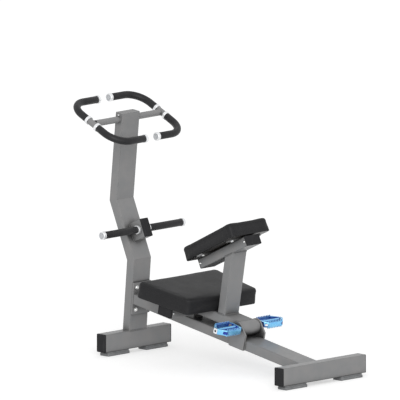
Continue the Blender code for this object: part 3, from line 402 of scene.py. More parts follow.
def blue_anodising():
    """Aluminium milled from bar, blasted, anodised and dyed: a translucent blue film over bright metal.
    Open faces mirror the pale studio as sky blue, painted shade deepens the pockets to royal blue, and a
    paler painted highlight runs along the milled edges. Cutter marks are drawn 2 mm apart, because
    the real 0.3 mm ones are too fine to show."""
    material, tree, shader, where = start_material("milled_blue_anodised_aluminium", "62B2F0", 0.28, 0.6)
    shader.inputs["Coat Weight"].default_value = 0.4
    shader.inputs["Coat Roughness"].default_value = 0.12
    film = add_node(tree, "ShaderNodeMix",
                    {0: patches(tree, where, 30.0, 3.0), 6: "70C2F8", 7: "8AD4FC"}, data_type="RGBA")
    # Painted shade: pockets and recesses darken to royal blue where little sky reaches them.
    pocket_shade = add_node(tree, "ShaderNodeMix",
                    {0: sheltered(tree, 45.0, 0.66), 6: film.outputs[2], 7: "15349C"}, data_type="RGBA")
    # Painted highlight: a paler line along the milled edges.
    edges = add_node(tree, "ShaderNodeMath", {0: rounded_edges(tree, 1.0), 1: 0.5},
                     operation="MULTIPLY")
    colour = add_node(tree, "ShaderNodeMix", {0: edges, 6: pocket_shade.outputs[2], 7: "C4E4F9"},
                      data_type="RGBA")
    place = add_node(tree, "ShaderNodeAttribute", attribute_name="own_place").outputs["Vector"]
    lengthways = add_node(tree, "ShaderNodeMapping", {"Vector": place, "Scale": (0.05, 1.0, 1.0)})
    marks = add_node(tree, "ShaderNodeTexNoise",
                     {"Vector": lengthways, "Scale": cycles(2.0), "Detail": 1.0})
    wire(tree, shader, colour.outputs[2], patches(tree, where, 10.0, low=0.26, high=0.36),
         (marks, 0.12, 0.08))
    return material


def moulded_foot_rubber():
    """Grey rubber compound pressed in a hot mould: dead matt, with pale floor dust caught in its pores.
    The real texture is 0.5 mm, too fine to show, so it is drawn at 3 mm."""
    material, tree, shader, where = start_material("press_moulded_grey_rubber", "77787A", 0.85,
                                                   ior=1.52, gloss=0.3)
    dust = patches(tree, where, 24.0, 5.0)
    colour = add_node(tree, "ShaderNodeMix", {0: dust, 6: "6F7072", 7: "838485"}, data_type="RGBA")
    pores = add_node(tree, "ShaderNodeTexNoise", {"Vector": where, "Scale": cycles(3.0), "Detail": 2.0})
    wire(tree, shader, colour.outputs[2], patches(tree, where, 12.0, low=0.78, high=0.92),
         (pores, 0.3, 0.25))
    return material


def moulded_bumper_rubber():
    """Natural rubber with carbon black, moulded: matt black with a faint brownish bloom where it has aged.
    The mould's texture is 0.4 mm, too fine to show, so it is drawn at 2.5 mm."""
    material, tree, shader, where = start_material("moulded_carbon_black_rubber", "242425", 0.8,
                                                   ior=1.52, gloss=0.35)
    bloom = patches(tree, where, 15.0, 4.0)
    colour = add_node(tree, "ShaderNodeMix", {0: bloom, 6: "212122", 7: "2F2D2B"}, data_type="RGBA")
    skin = add_node(tree, "ShaderNodeTexNoise", {"Vector": where, "Scale": cycles(2.5), "Detail": 2.0})
    wire(tree, shader, colour.outputs[2], patches(tree, where, 8.0, low=0.7, high=0.88),
         (skin, 0.25, 0.2))
    return material


def stained_plywood():
    """Rotary-cut birch plywood, sanded, stained black and lacquered: long grain lines show as slightly
    paler streaks, and the satin lacquer mirrors pale surroundings at a low angle."""
    material, tree, shader, where = start_material("black_stained_plywood", "262524", 0.35, ior=1.5)
    lengthways = add_node(tree, "ShaderNodeMapping", {"Vector": where, "Scale": (0.08, 1.0, 1.0)})
    grain = patches(tree, lengthways.outputs[0], 6.0, 5.0)
    colour = add_node(tree, "ShaderNodeMix", {0: grain, 6: "1E1D1C", 7: "34322F"}, data_type="RGBA")
    wire(tree, shader, colour.outputs[2], patches(tree, where, 20.0, low=0.3, high=0.42),
         (grain, 0.15, 0.15))
    return material


# Modelling helpers

def begin():
    """Closes any edit and deselects everything, so that an operator acts on the new piece alone."""
    if bpy.context.object and bpy.context.object.mode != "OBJECT":
        bpy.ops.object.mode_set(mode="OBJECT")
    bpy.ops.object.select_all(action="DESELECT")


def choose(item):
    begin()
    item.select_set(True)
    bpy.context.view_layer.objects.active = item


def edit(item):
    choose(item)
    bpy.ops.object.mode_set(mode="EDIT")


def pick(item, kind, test):
    """Selects parts of the item in edit mode, with places in millimetres: faces by middle and normal,
    edges by their two ends, and verts by place."""
    bpy.ops.mesh.select_mode(type={"faces": "FACE", "edges": "EDGE", "verts": "VERT"}[kind])
    bpy.ops.mesh.select_all(action="DESELECT")
    mesh = bmesh.from_edit_mesh(item.data)
    for part in getattr(mesh, kind):
        if kind == "faces":
            chosen = test(part.calc_center_median() / MM, part.normal)
        elif kind == "edges":
            chosen = test(*(vert.co / MM for vert in part.verts))
        else:
            chosen = test(part.co / MM)
        if chosen:
            part.select_set(True)
    mesh.select_flush_mode()
    bmesh.update_edit_mesh(item.data)


def upright(a, b):
    """Whether an edge rises along Z."""
    return abs(a.z - b.z) > 0.5


def level(a, b):
    """Whether an edge lies square to Z."""
    return abs(a.z - b.z) < 0.1


def over(height):
    """Tests for edges that lie above a height."""
    return lambda a, b: min(a.z, b.z) > height


def looks_up(middle, normal):
    return normal.z > 0.99


def looks_down(middle, normal):
    return normal.z < -0.99


def looks_along(middle, normal):
    """Whether a face looks along Z, up or down."""
    return abs(normal.z) > 0.99


def from_centre(place):
    return math.hypot(place.x, place.y)


def bevel(offset, segments=1):
    bpy.ops.mesh.bevel(offset=offset * MM, segments=segments)


def push(x=0.0, y=0.0, z=0.0):
    """Extrudes the selected faces by that step in millimetres."""
    bpy.ops.mesh.extrude_region_move(TRANSFORM_OT_translate={"value": (x * MM, y * MM, z * MM)})


def inset(thickness):
    bpy.ops.mesh.inset(thickness=thickness * MM, depth=0.0)


def grow(x=1.0, y=1.0, z=1.0):
    bpy.ops.transform.resize(value=(x, y, z), center_override=(0.0, 0.0, 0.0))


def close_edit(item):
    """Leaves edit mode with doubles merged and every face pointing outwards."""
    bpy.ops.mesh.select_all(action="SELECT")
    bpy.ops.mesh.remove_doubles(threshold=0.01 * MM)
    bpy.ops.mesh.normals_make_consistent(inside=False)
    bpy.ops.object.mode_set(mode="OBJECT")
    return item


def slab(width, depth, height, centre=(0.0, 0.0, 0.0)):
    begin()
    bpy.ops.mesh.primitive_cube_add(size=1.0, location=Vector(centre) * MM)
    item = bpy.context.object
    item.scale = (width * MM, depth * MM, height * MM)
    bpy.ops.object.transform_apply(location=True, rotation=False, scale=True)
    return item


def disc(radius, low, high, sides=32):
    """A round bar along Z from low to high."""
    begin()
    bpy.ops.mesh.primitive_cylinder_add(vertices=sides, radius=radius * MM, depth=(high - low) * MM,
                                        location=(0.0, 0.0, (low + high) / 2 * MM))
    item = bpy.context.object
    bpy.ops.object.transform_apply(location=True, rotation=False, scale=False)
    return item


def apply_modifiers(item):
    choose(item)
    for modifier in list(item.modifiers):
        bpy.ops.object.modifier_apply(modifier=modifier.name)


def discard(*items):
    for item in items:
        bpy.data.objects.remove(item, do_unlink=True)


def combine(item, other, operation):
    """Joins another shape to the item or cuts it out, and removes the other shape."""
    modifier = item.modifiers.new(operation.lower(), "BOOLEAN")
    modifier.operation = operation
    modifier.solver = "EXACT"
    modifier.object = other
    apply_modifiers(item)
    discard(other)
    return item


def moved(item, matrix):
    item.data.transform(matrix)
    return item


def copy_of(item):
    """A copy with a mesh of its own."""
    twin = item.copy()
    twin.data = item.data.copy()
    bpy.context.collection.objects.link(twin)
    return twin


def mirrored(item, axis=(1.0, 0.0, 0.0)):
    """The item's mirror image across an axis, its faces turned outwards again."""
    moved(item, Matrix.Scale(-1.0, 4, axis))
    edit(item)
    return close_edit(item)


def remember_place(item):
    """Keeps each point's place on its own piece, for the patterns that follow the piece's axis."""
    places = item.data.attributes.new("own_place", "FLOAT_VECTOR", "POINT")
    for vert, slot in zip(item.data.vertices, places.data):
        slot.vector = vert.co


def settle(item, name, matrix, finish, body, *replaced, angle=35):
    """Puts a finished piece in its place on the machine, in its mesh, and lets it ride on a body."""
    choose(item)
    remember_place(item)
    item.data.transform(matrix)
    item.name = name
    item.data.name = name
    item.data.materials.clear()
    item.data.materials.append(finishes[finish])
    bpy.ops.object.shade_smooth_by_angle(angle=math.radians(angle))
    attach(item, body)
    if replaced:
        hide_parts(*replaced)
    return item


def shift(x=0.0, y=0.0, z=0.0):
    return Matrix.Translation(Vector((x, y, z)) * MM)


def facing(x=0.0, y=0.0, z=0.0):
    """Turns a piece made along +Z so that it looks along another axis."""
    return Vector((x, y, z)).to_track_quat("Z", "Y").to_matrix().to_4x4()


def cord_of(line, radius, resolution=3):
    """Gives a line of edges round thickness."""
    choose(line)
    bpy.ops.object.convert(target="CURVE")
    line.data.bevel_depth = radius * MM
    line.data.bevel_resolution = resolution
    bpy.ops.object.convert(target="MESH")
    edit(line)
    return close_edit(line)


def round_outline(plane, corner, segments):
    """Rounds a flat face's corners and keeps its outline alone, still in edit mode."""
    edit(plane)
    bpy.ops.mesh.select_all(action="SELECT")
    bpy.ops.mesh.bevel(offset=corner * MM, segments=segments, affect="VERTICES")
    bpy.ops.mesh.select_all(action="SELECT")
    bpy.ops.mesh.delete(type="ONLY_FACE")


# Upholstered pads: half width at the rear and in front, where the rear and the front lie, and corner radius

SEAT_PAD = (271.0, 241.0, 511.0, 178.0, 27.0)
SEAT_PAD_BASE = 38.3           # above the pivot, square to the rail
SEAT_PAD_HEIGHT = 77.5
SEAT_SEAM_HEIGHT = 62.0
THIGH_PAD = (95.0, 136.0, 43.0, -365.0, 27.0)
THIGH_PAD_BASE = 55.6          # above the support tube's underside
THIGH_PAD_HEIGHT = 69.5
THIGH_SEAM_HEIGHT = 54.0
PAD_ROUNDING = 11.0
PAD_HEM = 9.0                  # width of the hem round the board's bay
BOARD_BAY = 12.5
PAD_DRAW = 2.0
PAD_MESH = 5.0
PAD_SWELL = 2.2
SEAM_RADIUS = 1.3


def pad_block(half_rear, half_front, rear, front, corner, height):
    """The foam block: a tapered slab with a bay below for the board, its rear and front drawn in a little
    at their middle."""
    middle = (rear + front) / 2
    block = slab(2.0, rear - front, height, (0.0, middle, height / 2))
    edit(block)
    pick(block, "verts", lambda co: co.y > middle)
    grow(x=half_rear)
    pick(block, "verts", lambda co: co.y < middle)
    grow(x=half_front)
    pick(block, "edges", upright)
    bevel(corner, 6)
    pick(block, "edges", over(height - 1))
    bevel(PAD_ROUNDING, 4)
    pick(block, "faces", looks_down)
    inset(PAD_HEM)
    push(z=BOARD_BAY)
    pick(block, "edges", lambda a, b: (a - b).length > 60)
    bpy.ops.mesh.subdivide(number_cuts=7)
    pick(block, "verts", lambda co: abs(co.x) < half_front * 0.5 and co.y > rear - 15)
    bpy.ops.transform.translate(value=(0.0, -PAD_DRAW * MM, 0.0))
    pick(block, "verts", lambda co: abs(co.x) < half_front * 0.5 and co.y < front + 15)
    bpy.ops.transform.translate(value=(0.0, PAD_DRAW * MM, 0.0))
    return close_edit(block)


def inflate(pad, frames=20):
    """The cover swells under the foam's pressure, PAD_SWELL at most. Its underside, stapled to the board,
    stays put."""
    choose(pad)
    pad.data.remesh_voxel_size = PAD_MESH * MM
    bpy.ops.object.voxel_remesh()
    rest = [vert.co.copy() for vert in pad.data.vertices]
    held = pad.vertex_groups.new(name="stapled")
    low = [vert.index for vert in pad.data.vertices if vert.co.z < 9.0 * MM or vert.normal.z < -0.5]
    held.add(low, 1.0, "REPLACE")
    cloth = pad.modifiers.new("cover", "CLOTH")
    cloth.settings.use_pressure = True
    cloth.settings.uniform_pressure_force = 4.0
    cloth.settings.vertex_group_mass = held.name
    cloth.settings.effector_weights.gravity = 0.0
    cloth.point_cache.frame_end = frames
    for number in range(1, frames + 1):
        bpy.context.scene.frame_set(number)
    apply_modifiers(pad)
    for vert, start in zip(pad.data.vertices, rest):
        step = vert.co - start
        if step.length > PAD_SWELL * MM:
            vert.co = start + step.normalized() * PAD_SWELL * MM
    bpy.context.scene.frame_set(1)
    draw_tight = pad.modifiers.new("draw_tight", "SMOOTH")
    draw_tight.iterations = 5
    soften = pad.modifiers.new("soften", "SUBSURF")
    soften.levels = soften.render_levels = 1
    apply_modifiers(pad)
    return pad


def welt(pad, half_rear, half_front, rear, front, corner, height):
    """The corded seam round the pad, laid on the swollen cover."""
    begin()
    bpy.ops.mesh.primitive_plane_add(size=2.0, location=(0.0, 0.0, 0.0))
    line = bpy.context.object
    for vert in line.data.vertices:
        at_rear = vert.co.y > 0
        half = half_rear if at_rear else half_front
        vert.co = Vector((math.copysign(half, vert.co.x), rear if at_rear else front, height)) * MM
    round_outline(line, corner, 8)
    pick(line, "edges", lambda a, b: (a - b).length > 50)
    bpy.ops.mesh.subdivide(number_cuts=12)
    bpy.ops.object.mode_set(mode="OBJECT")
    lay = line.modifiers.new("lay", "SHRINKWRAP")
    lay.target = pad
    apply_modifiers(line)
    return cord_of(line, SEAM_RADIUS)


def make_pads():
    for name, outline, height, seam_height, place in (
            ("seat", SEAT_PAD, SEAT_PAD_HEIGHT, SEAT_SEAM_HEIGHT, ROCKER @ shift(z=SEAT_PAD_BASE)),
            ("saddle", THIGH_PAD, THIGH_PAD_HEIGHT, THIGH_SEAM_HEIGHT, SADDLE @ shift(z=THIGH_PAD_BASE))):
        pad = inflate(pad_block(*outline, height))
        seam = welt(pad, *outline, seam_height)
        settle(pad, f"{name}_pad", place, "black_vinyl", "seat_frame", f"{name}_cushion", angle=180)
        settle(seam, f"{name}_pad_welt", place, "black_vinyl", "seat_frame", angle=180)


# Grips, collars and end caps on the round bars

BAR_RADIUS = 16.0
BAR_WALL = 2.5
GRIP_RADIUS = 18.0
GRIP_WALL = 1.6
COLLAR_RADIUS = 21.0
COLLAR_LENGTH = 15.0
CUP_LIP = 5.5                  # width of the end cup's rim round its dished face
CUP_FACE = 4.2                 # thickness of that face
BAR_PLAY = 0.4                 # between a bar and what is pushed over it
HOOP_HALF_WIDTH = 235.0
HOOP_HALF_LENGTH = 180.0
HOOP_CORNER = 95.0
HOOP_GAP = 34.0
HOOP_BARE = 25.5
MID_BAR_OUT = 54.0
MID_BAR_HALF = 280.0
STUB_HALF_WIDTH = 27.0
HOUSING_RADIUS = 38.0
HOUSING_BORE = 17.6
HOUSING_LENGTH = 118.0


def sleeve_of(item, thickness):
    """Gives an open round skin a wall and soft ends."""
    edit(item)
    bpy.ops.mesh.select_all(action="SELECT")
    bpy.ops.mesh.remove_doubles(threshold=0.01 * MM)
    bpy.ops.mesh.normals_make_consistent(inside=False)
    bpy.ops.object.mode_set(mode="OBJECT")
    wall = item.modifiers.new("wall", "SOLIDIFY")
    wall.thickness = thickness * MM
    wall.offset = -1.0
    wall.use_even_offset = True
    ends = item.modifiers.new("ends", "BEVEL")
    ends.width = 0.6 * MM
    ends.segments = 2
    ends.limit_method = "ANGLE"
    ends.angle_limit = math.radians(60)
    apply_modifiers(item)
    return item


def open_tube(radius, length, thickness):
    """A straight tube along Z, its middle at the origin."""
    begin()
    bpy.ops.mesh.primitive_cylinder_add(vertices=32, radius=radius * MM, depth=length * MM,
                                        end_fill_type="NOTHING")
    return sleeve_of(bpy.context.object, thickness)


def open_ring(radius, start):
    """A round outline across X at the hoop's rear edge, selected and ready to be pushed along the path."""
    begin()
    bpy.ops.mesh.primitive_circle_add(vertices=32, radius=radius * MM, fill_type="NOTHING",
                                      location=(start * MM, HOOP_HALF_LENGTH * MM, 0.0),
                                      rotation=(0.0, math.radians(90), 0.0))
    ring = bpy.context.object
    bpy.ops.object.transform_apply(location=True, rotation=True, scale=False)
    edit(ring)
    bpy.ops.mesh.select_all(action="SELECT")
    return ring


def turn_corner(end):
    """Sweeps the selected outline round a corner of the hoop, the rear one at end 1, the front one at -1."""
    centre = (HOOP_HALF_WIDTH - HOOP_CORNER, end * (HOOP_HALF_LENGTH - HOOP_CORNER), 0.0)
    bpy.ops.mesh.spin(steps=14, angle=math.radians(90), axis=(0.0, 0.0, 1.0), center=Vector(centre) * MM)


def hoop_grip():
    """A sleeve round the hoop's corner: out along X, round the bend and back along Y."""
    start = HOOP_GAP + COLLAR_LENGTH + GAP
    grip = open_ring(GRIP_RADIUS, start)
    push(x=HOOP_HALF_WIDTH - HOOP_CORNER - start)
    turn_corner(1)
    push(y=HOOP_BARE + COLLAR_LENGTH + GAP - (HOOP_HALF_LENGTH - HOOP_CORNER))
    bpy.ops.object.mode_set(mode="OBJECT")
    return sleeve_of(grip, GRIP_WALL)


def hoop_bar():
    """One side of the hoop, a single bent tube from its rear opening to its front one."""
    start = HOOP_GAP + CUP_FACE + GAP
    bar = open_ring(BAR_RADIUS, start)
    push(x=HOOP_HALF_WIDTH - HOOP_CORNER - start)
    turn_corner(1)
    push(y=-2 * (HOOP_HALF_LENGTH - HOOP_CORNER))
    turn_corner(-1)
    push(x=start + HOOP_CORNER - HOOP_HALF_WIDTH)
    bpy.ops.object.mode_set(mode="OBJECT")
    return sleeve_of(bar, BAR_WALL)


def cross_tube():
    """The tube through the column, made along Z, its ends coped to sit against the hoop's two sides."""
    tube = open_tube(BAR_RADIUS, 2 * HOOP_HALF_WIDTH, BAR_WALL)
    for end in (-1, 1):
        cope = disc(BAR_RADIUS + GAP, -30.0, 30.0)
        combine(tube, moved(cope, shift(z=end * HOOP_HALF_WIDTH) @ facing(y=1)), "DIFFERENCE")
    return tube


def collar():
    """A turned ring with softened edges."""
    ring = disc(COLLAR_RADIUS, 0.0, COLLAR_LENGTH)
    edit(ring)
    pick(ring, "faces", looks_along)
    inset(COLLAR_RADIUS - BAR_RADIUS - BAR_PLAY)
    bpy.ops.mesh.bridge_edge_loops()
    pick(ring, "edges", lambda a, b: level(a, b) and from_centre(a) > COLLAR_RADIUS - 0.5)
    bevel(1.2, 3)
    return close_edit(ring)


def end_cap():
    """A turned cup over the bar's end: its mouth down at Z 0, a dished face with a button at the top."""
    cup = disc(COLLAR_RADIUS, 0.0, COLLAR_LENGTH)
    edit(cup)
    pick(cup, "faces", looks_down)
    inset(COLLAR_RADIUS - BAR_RADIUS - BAR_PLAY)
    push(z=COLLAR_LENGTH - CUP_FACE)
    pick(cup, "faces", looks_up)
    inset(CUP_LIP)
    push(z=-2.0)
    inset(6.5)
    push(z=1.5)
    inset(2.0)
    pick(cup, "edges", lambda a, b: level(a, b) and a.z > 12 and from_centre(a) > COLLAR_RADIUS - 0.4)
    bevel(2.2, 4)
    return close_edit(cup)


def pivot_barrel():
    """The turned housing that carries the rocker on its shaft: a thick ring with broken edges."""
    barrel = disc(HOUSING_RADIUS, -HOUSING_LENGTH / 2, HOUSING_LENGTH / 2, 96)
    edit(barrel)
    pick(barrel, "faces", looks_along)
    inset(HOUSING_RADIUS - HOUSING_BORE)
    bpy.ops.mesh.bridge_edge_loops()
    pick(barrel, "edges", lambda a, b: level(a, b) and from_centre(a) > HOUSING_RADIUS - 0.5)
    bevel(1.0, 2)
    return close_edit(barrel)


def make_bars():
    bar = hoop_bar()
    settle(copy_of(bar), "hoop_tube_right", HOOP, "powder_coated_steel", "floor_frame", "hoop_bar_right")
    settle(mirrored(bar), "hoop_tube_left", HOOP, "powder_coated_steel", "floor_frame", "hoop_bar_left")
    settle(cross_tube(), "hoop_cross_tube", HOOP @ facing(x=1), "powder_coated_steel", "floor_frame",
           "handle_cross_tube")
    settle(pivot_barrel(), "pivot_barrel", ROCKER @ facing(x=1), "powder_coated_steel", "seat_frame",
           "pivot_housing")


def make_round_fittings():
    grip = hoop_grip()
    ring = collar()
    cup = end_cap()
    for side, side_name in SIDES:
        for end, end_name in ((-1, "front"), (1, "rear")):
            where = f"{end_name}_{side_name}"
            piece = copy_of(grip)
            if end < 0:
                mirrored(piece, (0.0, 1.0, 0.0))
            if side < 0:
                mirrored(piece)
            settle(piece, f"hoop_sleeve_{where}", HOOP, "grip_rubber", "floor_frame", f"hoop_grip_{where}")
            place = HOOP @ shift(side * HOOP_HALF_WIDTH, end * HOOP_BARE) @ facing(y=end)
            settle(copy_of(ring), f"hoop_ring_{where}", place, "bright_aluminium", "floor_frame",
                   f"hoop_collar_{where}")
            place = HOOP @ shift(side * (HOOP_GAP + COLLAR_LENGTH), end * HOOP_HALF_LENGTH) @ facing(x=-side)
            settle(copy_of(cup), f"hoop_cup_{where}", place, "bright_aluminium", "floor_frame",
                   f"hoop_end_cap_{where}")
        start = STUB_HALF_WIDTH + GAP
        length = MID_BAR_HALF - start - 2 * COLLAR_LENGTH - 2 * GAP
        place = MID_HANDLE @ shift(side * start, -MID_BAR_OUT) @ facing(x=side)
        settle(copy_of(ring), f"mid_ring_{side_name}", place, "bright_aluminium", "floor_frame",
               f"mid_collar_{side_name}")
        place = MID_HANDLE @ shift(side * (MID_BAR_HALF - COLLAR_LENGTH), -MID_BAR_OUT) @ facing(x=side)
        settle(copy_of(cup), f"mid_cup_{side_name}", place, "bright_aluminium", "floor_frame",
               f"mid_end_cap_{side_name}")
        middle = side * (start + COLLAR_LENGTH + GAP + length / 2)
        settle(open_tube(GRIP_RADIUS, length, GRIP_WALL), f"mid_sleeve_{side_name}",
               MID_HANDLE @ shift(middle, -MID_BAR_OUT) @ facing(x=side), "grip_rubber", "floor_frame",
               f"mid_grip_{side_name}")
    discard(grip, ring, cup)


# Plastic caps and rubber feet

FOOT_TUBES = (("rear", 227.0, 539.93), ("front", 285.5, -741.07))      # half length over the caps, and Y
FOOT_TUBE_MIDDLE = 65.3        # above the floor
CAP_THICKNESS = 5.0
CAP_INSERT = 18.0
CROSS_TUBE_END = 227.0
CROSS_TUBE_MIDDLE = 334.0
RAIL_MIDDLE = 13.0             # the rail's centre line, above the pivot's
SUPPORT_MIDDLE = 25.0          # the support tube's centre line, above its underside
STUB_END = 82.0
RUBBER_FOOT = (149.0, 60.0)    # length and width
FOOT_SET_BACK = 21.0           # from the caps' faces
SOLE = 13.0                    # heights of the foot's two parts
STEP = 7.0


def tube_cap(width, height, thickness=CAP_THICKNESS, insert=CAP_INSERT):
    """A moulded cap for a rectangular tube, its face up: soft rim, shallow panel and a plug below."""
    cap = slab(width, height, thickness - GAP, (0.0, 0.0, (thickness + GAP) / 2))
    edit(cap)
    pick(cap, "edges", upright)
    bevel(4.5, 4)
    pick(cap, "edges", over(thickness - 0.1))
    bevel(1.6, 3)
    pick(cap, "faces", looks_down)
    inset(3.4)
    push(z=-insert - GAP)
    pick(cap, "faces", looks_up)
    inset(2.4)
    push(z=-0.8)
    return close_edit(cap)


def make_caps():
    for end_name, half_length, y in FOOT_TUBES:
        for side, side_name in SIDES:
            place = shift(side * (half_length - CAP_THICKNESS), y, FOOT_TUBE_MIDDLE) @ facing(x=side)
            settle(tube_cap(*FOOT_TUBE), f"{end_name}_foot_plug_{side_name}", place, "black_plastic",
                   "floor_frame", f"{end_name}_foot_cap_{side_name}")
    for side, side_name in SIDES:
        place = ROCKER @ shift(side * CROSS_TUBE_END, CROSS_TUBE_MIDDLE, RAIL_MIDDLE) @ facing(x=side)
        settle(tube_cap(*CROSS_TUBE, thickness=12.0), f"cross_tube_plug_{side_name}", place,
               "black_plastic", "seat_frame", f"cross_tube_cap_{side_name}")
    for end_name, y, way in (("rear", -5.0, 1), ("front", -353.0, -1)):
        settle(tube_cap(*SUPPORT_TUBE), f"support_plug_{end_name}",
               SADDLE @ shift(y=y, z=SUPPORT_MIDDLE) @ facing(y=way), "black_plastic", "seat_frame",
               f"support_cap_{end_name}")
    settle(tube_cap(*STUB, thickness=4.0, insert=8.0), "mid_handle_stub_plug",
           MID_HANDLE @ shift(y=-STUB_END) @ facing(y=-1), "black_plastic", "floor_frame",
           "mid_handle_stub_cap")


def rubber_foot():
    """A moulded foot: a wide sole and a narrower step under the tube."""
    length, width = RUBBER_FOOT
    foot = slab(length, width, SOLE, (0.0, 0.0, SOLE / 2))
    edit(foot)
    pick(foot, "edges", upright)
    bevel(5.0, 4)
    pick(foot, "faces", looks_up)
    inset(4.0)
    push(z=STEP)
    pick(foot, "edges", lambda a, b: max(a.z, b.z) < 0.1)
    bevel(1.5, 2)
    pick(foot, "edges", lambda a, b: level(a, b) and abs(a.z - SOLE) < 0.1 and
         max(abs(a.y) - width / 2, abs(a.x) - length / 2) > -3)
    bevel(0.8, 2)
    return close_edit(foot)


def make_feet():
    foot = rubber_foot()
    for end_name, half_length, y in FOOT_TUBES:
        for side, side_name in SIDES:
            middle = side * (half_length - FOOT_SET_BACK - RUBBER_FOOT[0] / 2)
            settle(copy_of(foot), f"{end_name}_rubber_foot_{side_name}", shift(middle, y), "grey_rubber",
                   "floor_frame", f"{end_name}_foot_pad_{side_name}")
    discard(foot)


# Fasteners

FLANGE_MIDDLE = 161.5          # up the column from its foot
FLANGE_FACE = 10.3             # in front of the column's face, where the bolts' washers sit
FLANGE_BOLTS = (40.0, 55.0)    # from the flange's middle, across and up
COLUMN_SCREW = (75.0, 1166.0)  # behind the column's foot and above the floor
SUPPORT_SCREWS = (("rear", 12.0), ("front", 346.0))                    # down the support tube
STRAP_BOLTS = (("rear", 76.0), ("front", 296.0))
STRAP_BOLT_OUT = 78.0


def socket_screw(radius, height):
    """A button-head screw with a hexagon socket, standing on Z 0."""
    screw = disc(radius, -0.2, height, 24)
    edit(screw)
    pick(screw, "edges", over(height - 0.1))
    bevel(height * 0.7, 4)
    close_edit(screw)
    begin()
    bpy.ops.mesh.primitive_cylinder_add(vertices=6, radius=radius * 0.45 * MM, depth=height * MM,
                                        location=(0.0, 0.0, height * MM))
    return combine(screw, bpy.context.object, "DIFFERENCE")


def hex_bolt(across, height):
    """A hexagon head with chamfered corners on a flat washer."""
    bolt = disc(across * 0.64, -0.2, 1.6, 32)
    edit(bolt)
    pick(bolt, "edges", over(1.5))
    bevel(0.4, 2)
    close_edit(bolt)
    head = disc(across / 2 / math.cos(math.radians(30)), 1.0, height, 6)
    begin()
    bpy.ops.mesh.primitive_cone_add(vertices=48, radius1=across * 0.86 * MM,
                                    radius2=across * 0.44 * MM, depth=(height + 1.0) * MM,
                                    location=(0.0, 0.0, (height - 1.0) / 2 * MM))
    combine(head, bpy.context.object, "INTERSECT")
    return combine(bolt, head, "UNION")


def dome_nut(radius, height):
    """A domed cap head, bright plated."""
    nut = disc(radius, -0.2, height, 32)
    edit(nut)
    pick(nut, "edges", over(height - 0.1))
    bevel(height * 0.9, 6)
    return close_edit(nut)


def make_fasteners():
    bolt = hex_bolt(17.0, 7.0)
    screw = socket_screw(5.5, 3.2)
    dome = dome_nut(10.0, 7.5)
    across, rise = FLANGE_BOLTS
    for side, side_name in SIDES:
        for row, way in (("lower", -1), ("upper", 1)):
            place = FLANGE @ shift(side * across, -FLANGE_FACE, FLANGE_MIDDLE + way * rise) @ facing(y=-1)
            settle(copy_of(bolt), f"flange_hex_{row}_{side_name}", place, "zinc_plated_steel",
                   "floor_frame", f"flange_bolt_{row}_{side_name}")
    back, height = COLUMN_SCREW
    front = CROSS_TUBE_MIDDLE - CROSS_TUBE[0] / 2
    for side, side_name in SIDES:
        place = shift(side * COLUMN_TUBE[0] / 2, ORIGIN_FORWARD + back, height) @ facing(x=side)
        settle(copy_of(screw), f"column_screw_{side_name}", place, "zinc_plated_steel", "floor_frame")
        place = ROCKER @ shift(side * (CROSS_TUBE_END - 8.0), front, RAIL_MIDDLE) @ facing(y=-1)
        settle(copy_of(screw), f"cross_tube_screw_{side_name}", place, "zinc_plated_steel", "seat_frame")
        for end_name, along in SUPPORT_SCREWS:
            place = SADDLE @ shift(side * SUPPORT_TUBE[0] / 2, -along, SUPPORT_MIDDLE) @ facing(x=side)
            settle(copy_of(screw), f"support_screw_{end_name}_{side_name}", place, "zinc_plated_steel",
                   "seat_frame")
        for end_name, along in STRAP_BOLTS:
            place = SADDLE @ shift(side * STRAP_BOLT_OUT, -along, SUPPORT_TUBE[1] + GAP) @ facing(z=-1)
            settle(copy_of(dome), f"strap_bolt_{end_name}_{side_name}", place, "zinc_plated_steel",
                   "seat_frame")
    discard(bolt, screw, dome)


# Pedals: made for the right side in the pedal's own frame, whose X runs along the spindle

PEDAL_INNER = 79.0
PEDAL_OUTER = 225.0
PEDAL_HALF_DEPTH = 47.0
PEDAL_HALF_HEIGHT = 13.0
PEDAL_MIDDLE = (PEDAL_INNER + PEDAL_OUTER) / 2
PEDAL_CUT = 33.0               # how far the outer corners are cut back
PEDAL_INNER_CUT = 16.0
PEDAL_WALL = 12.0
PANEL = (96.0, 177.0)          # where the raised panel on each rail's face begins and ends
PANEL_RISE = 1.5
TOOTH_COUNT = 9
TOOTH_FIRST = 98.0
TOOTH_PITCH = 11.0
TOOTH_ROW = 41.0
BARREL_RADIUS = 11.0
BORES = ((6.5, -5.0, 160.0), (8.4, 130.0, 160.0))     # radius, and where each begins and ends in the barrel


def pedal_cage():
    """The milled cage: cut corners, a window right through it, and broken edges."""
    depth = 2 * (PEDAL_HALF_DEPTH - PANEL_RISE)
    cage = slab(PEDAL_OUTER - PEDAL_INNER, depth, 2 * PEDAL_HALF_HEIGHT, (PEDAL_MIDDLE, 0.0, 0.0))
    edit(cage)
    pick(cage, "edges", lambda a, b: upright(a, b) and a.x > PEDAL_MIDDLE)
    bevel(PEDAL_CUT)
    pick(cage, "edges", lambda a, b: upright(a, b) and a.x < PEDAL_INNER + 1)
    bevel(PEDAL_INNER_CUT)
    pick(cage, "faces", looks_along)
    inset(PEDAL_WALL)
    bpy.ops.mesh.bridge_edge_loops()
    pick(cage, "edges", lambda a, b: level(a, b) and on_rim(a) and on_rim(b))
    bevel(1.2, 2)
    return close_edit(cage)


def on_rim(place):
    """Whether a place in the pedal's frame lies on the cage's outside and not in its window."""
    outer = place.x > PEDAL_MIDDLE
    to_end = PEDAL_OUTER - place.x if outer else place.x - PEDAL_INNER
    to_side = PEDAL_HALF_DEPTH - abs(place.y)
    cut = PEDAL_CUT if outer else PEDAL_INNER_CUT
    return min(to_end, to_side, (to_end + to_side - cut) / math.sqrt(2)) < 3.0


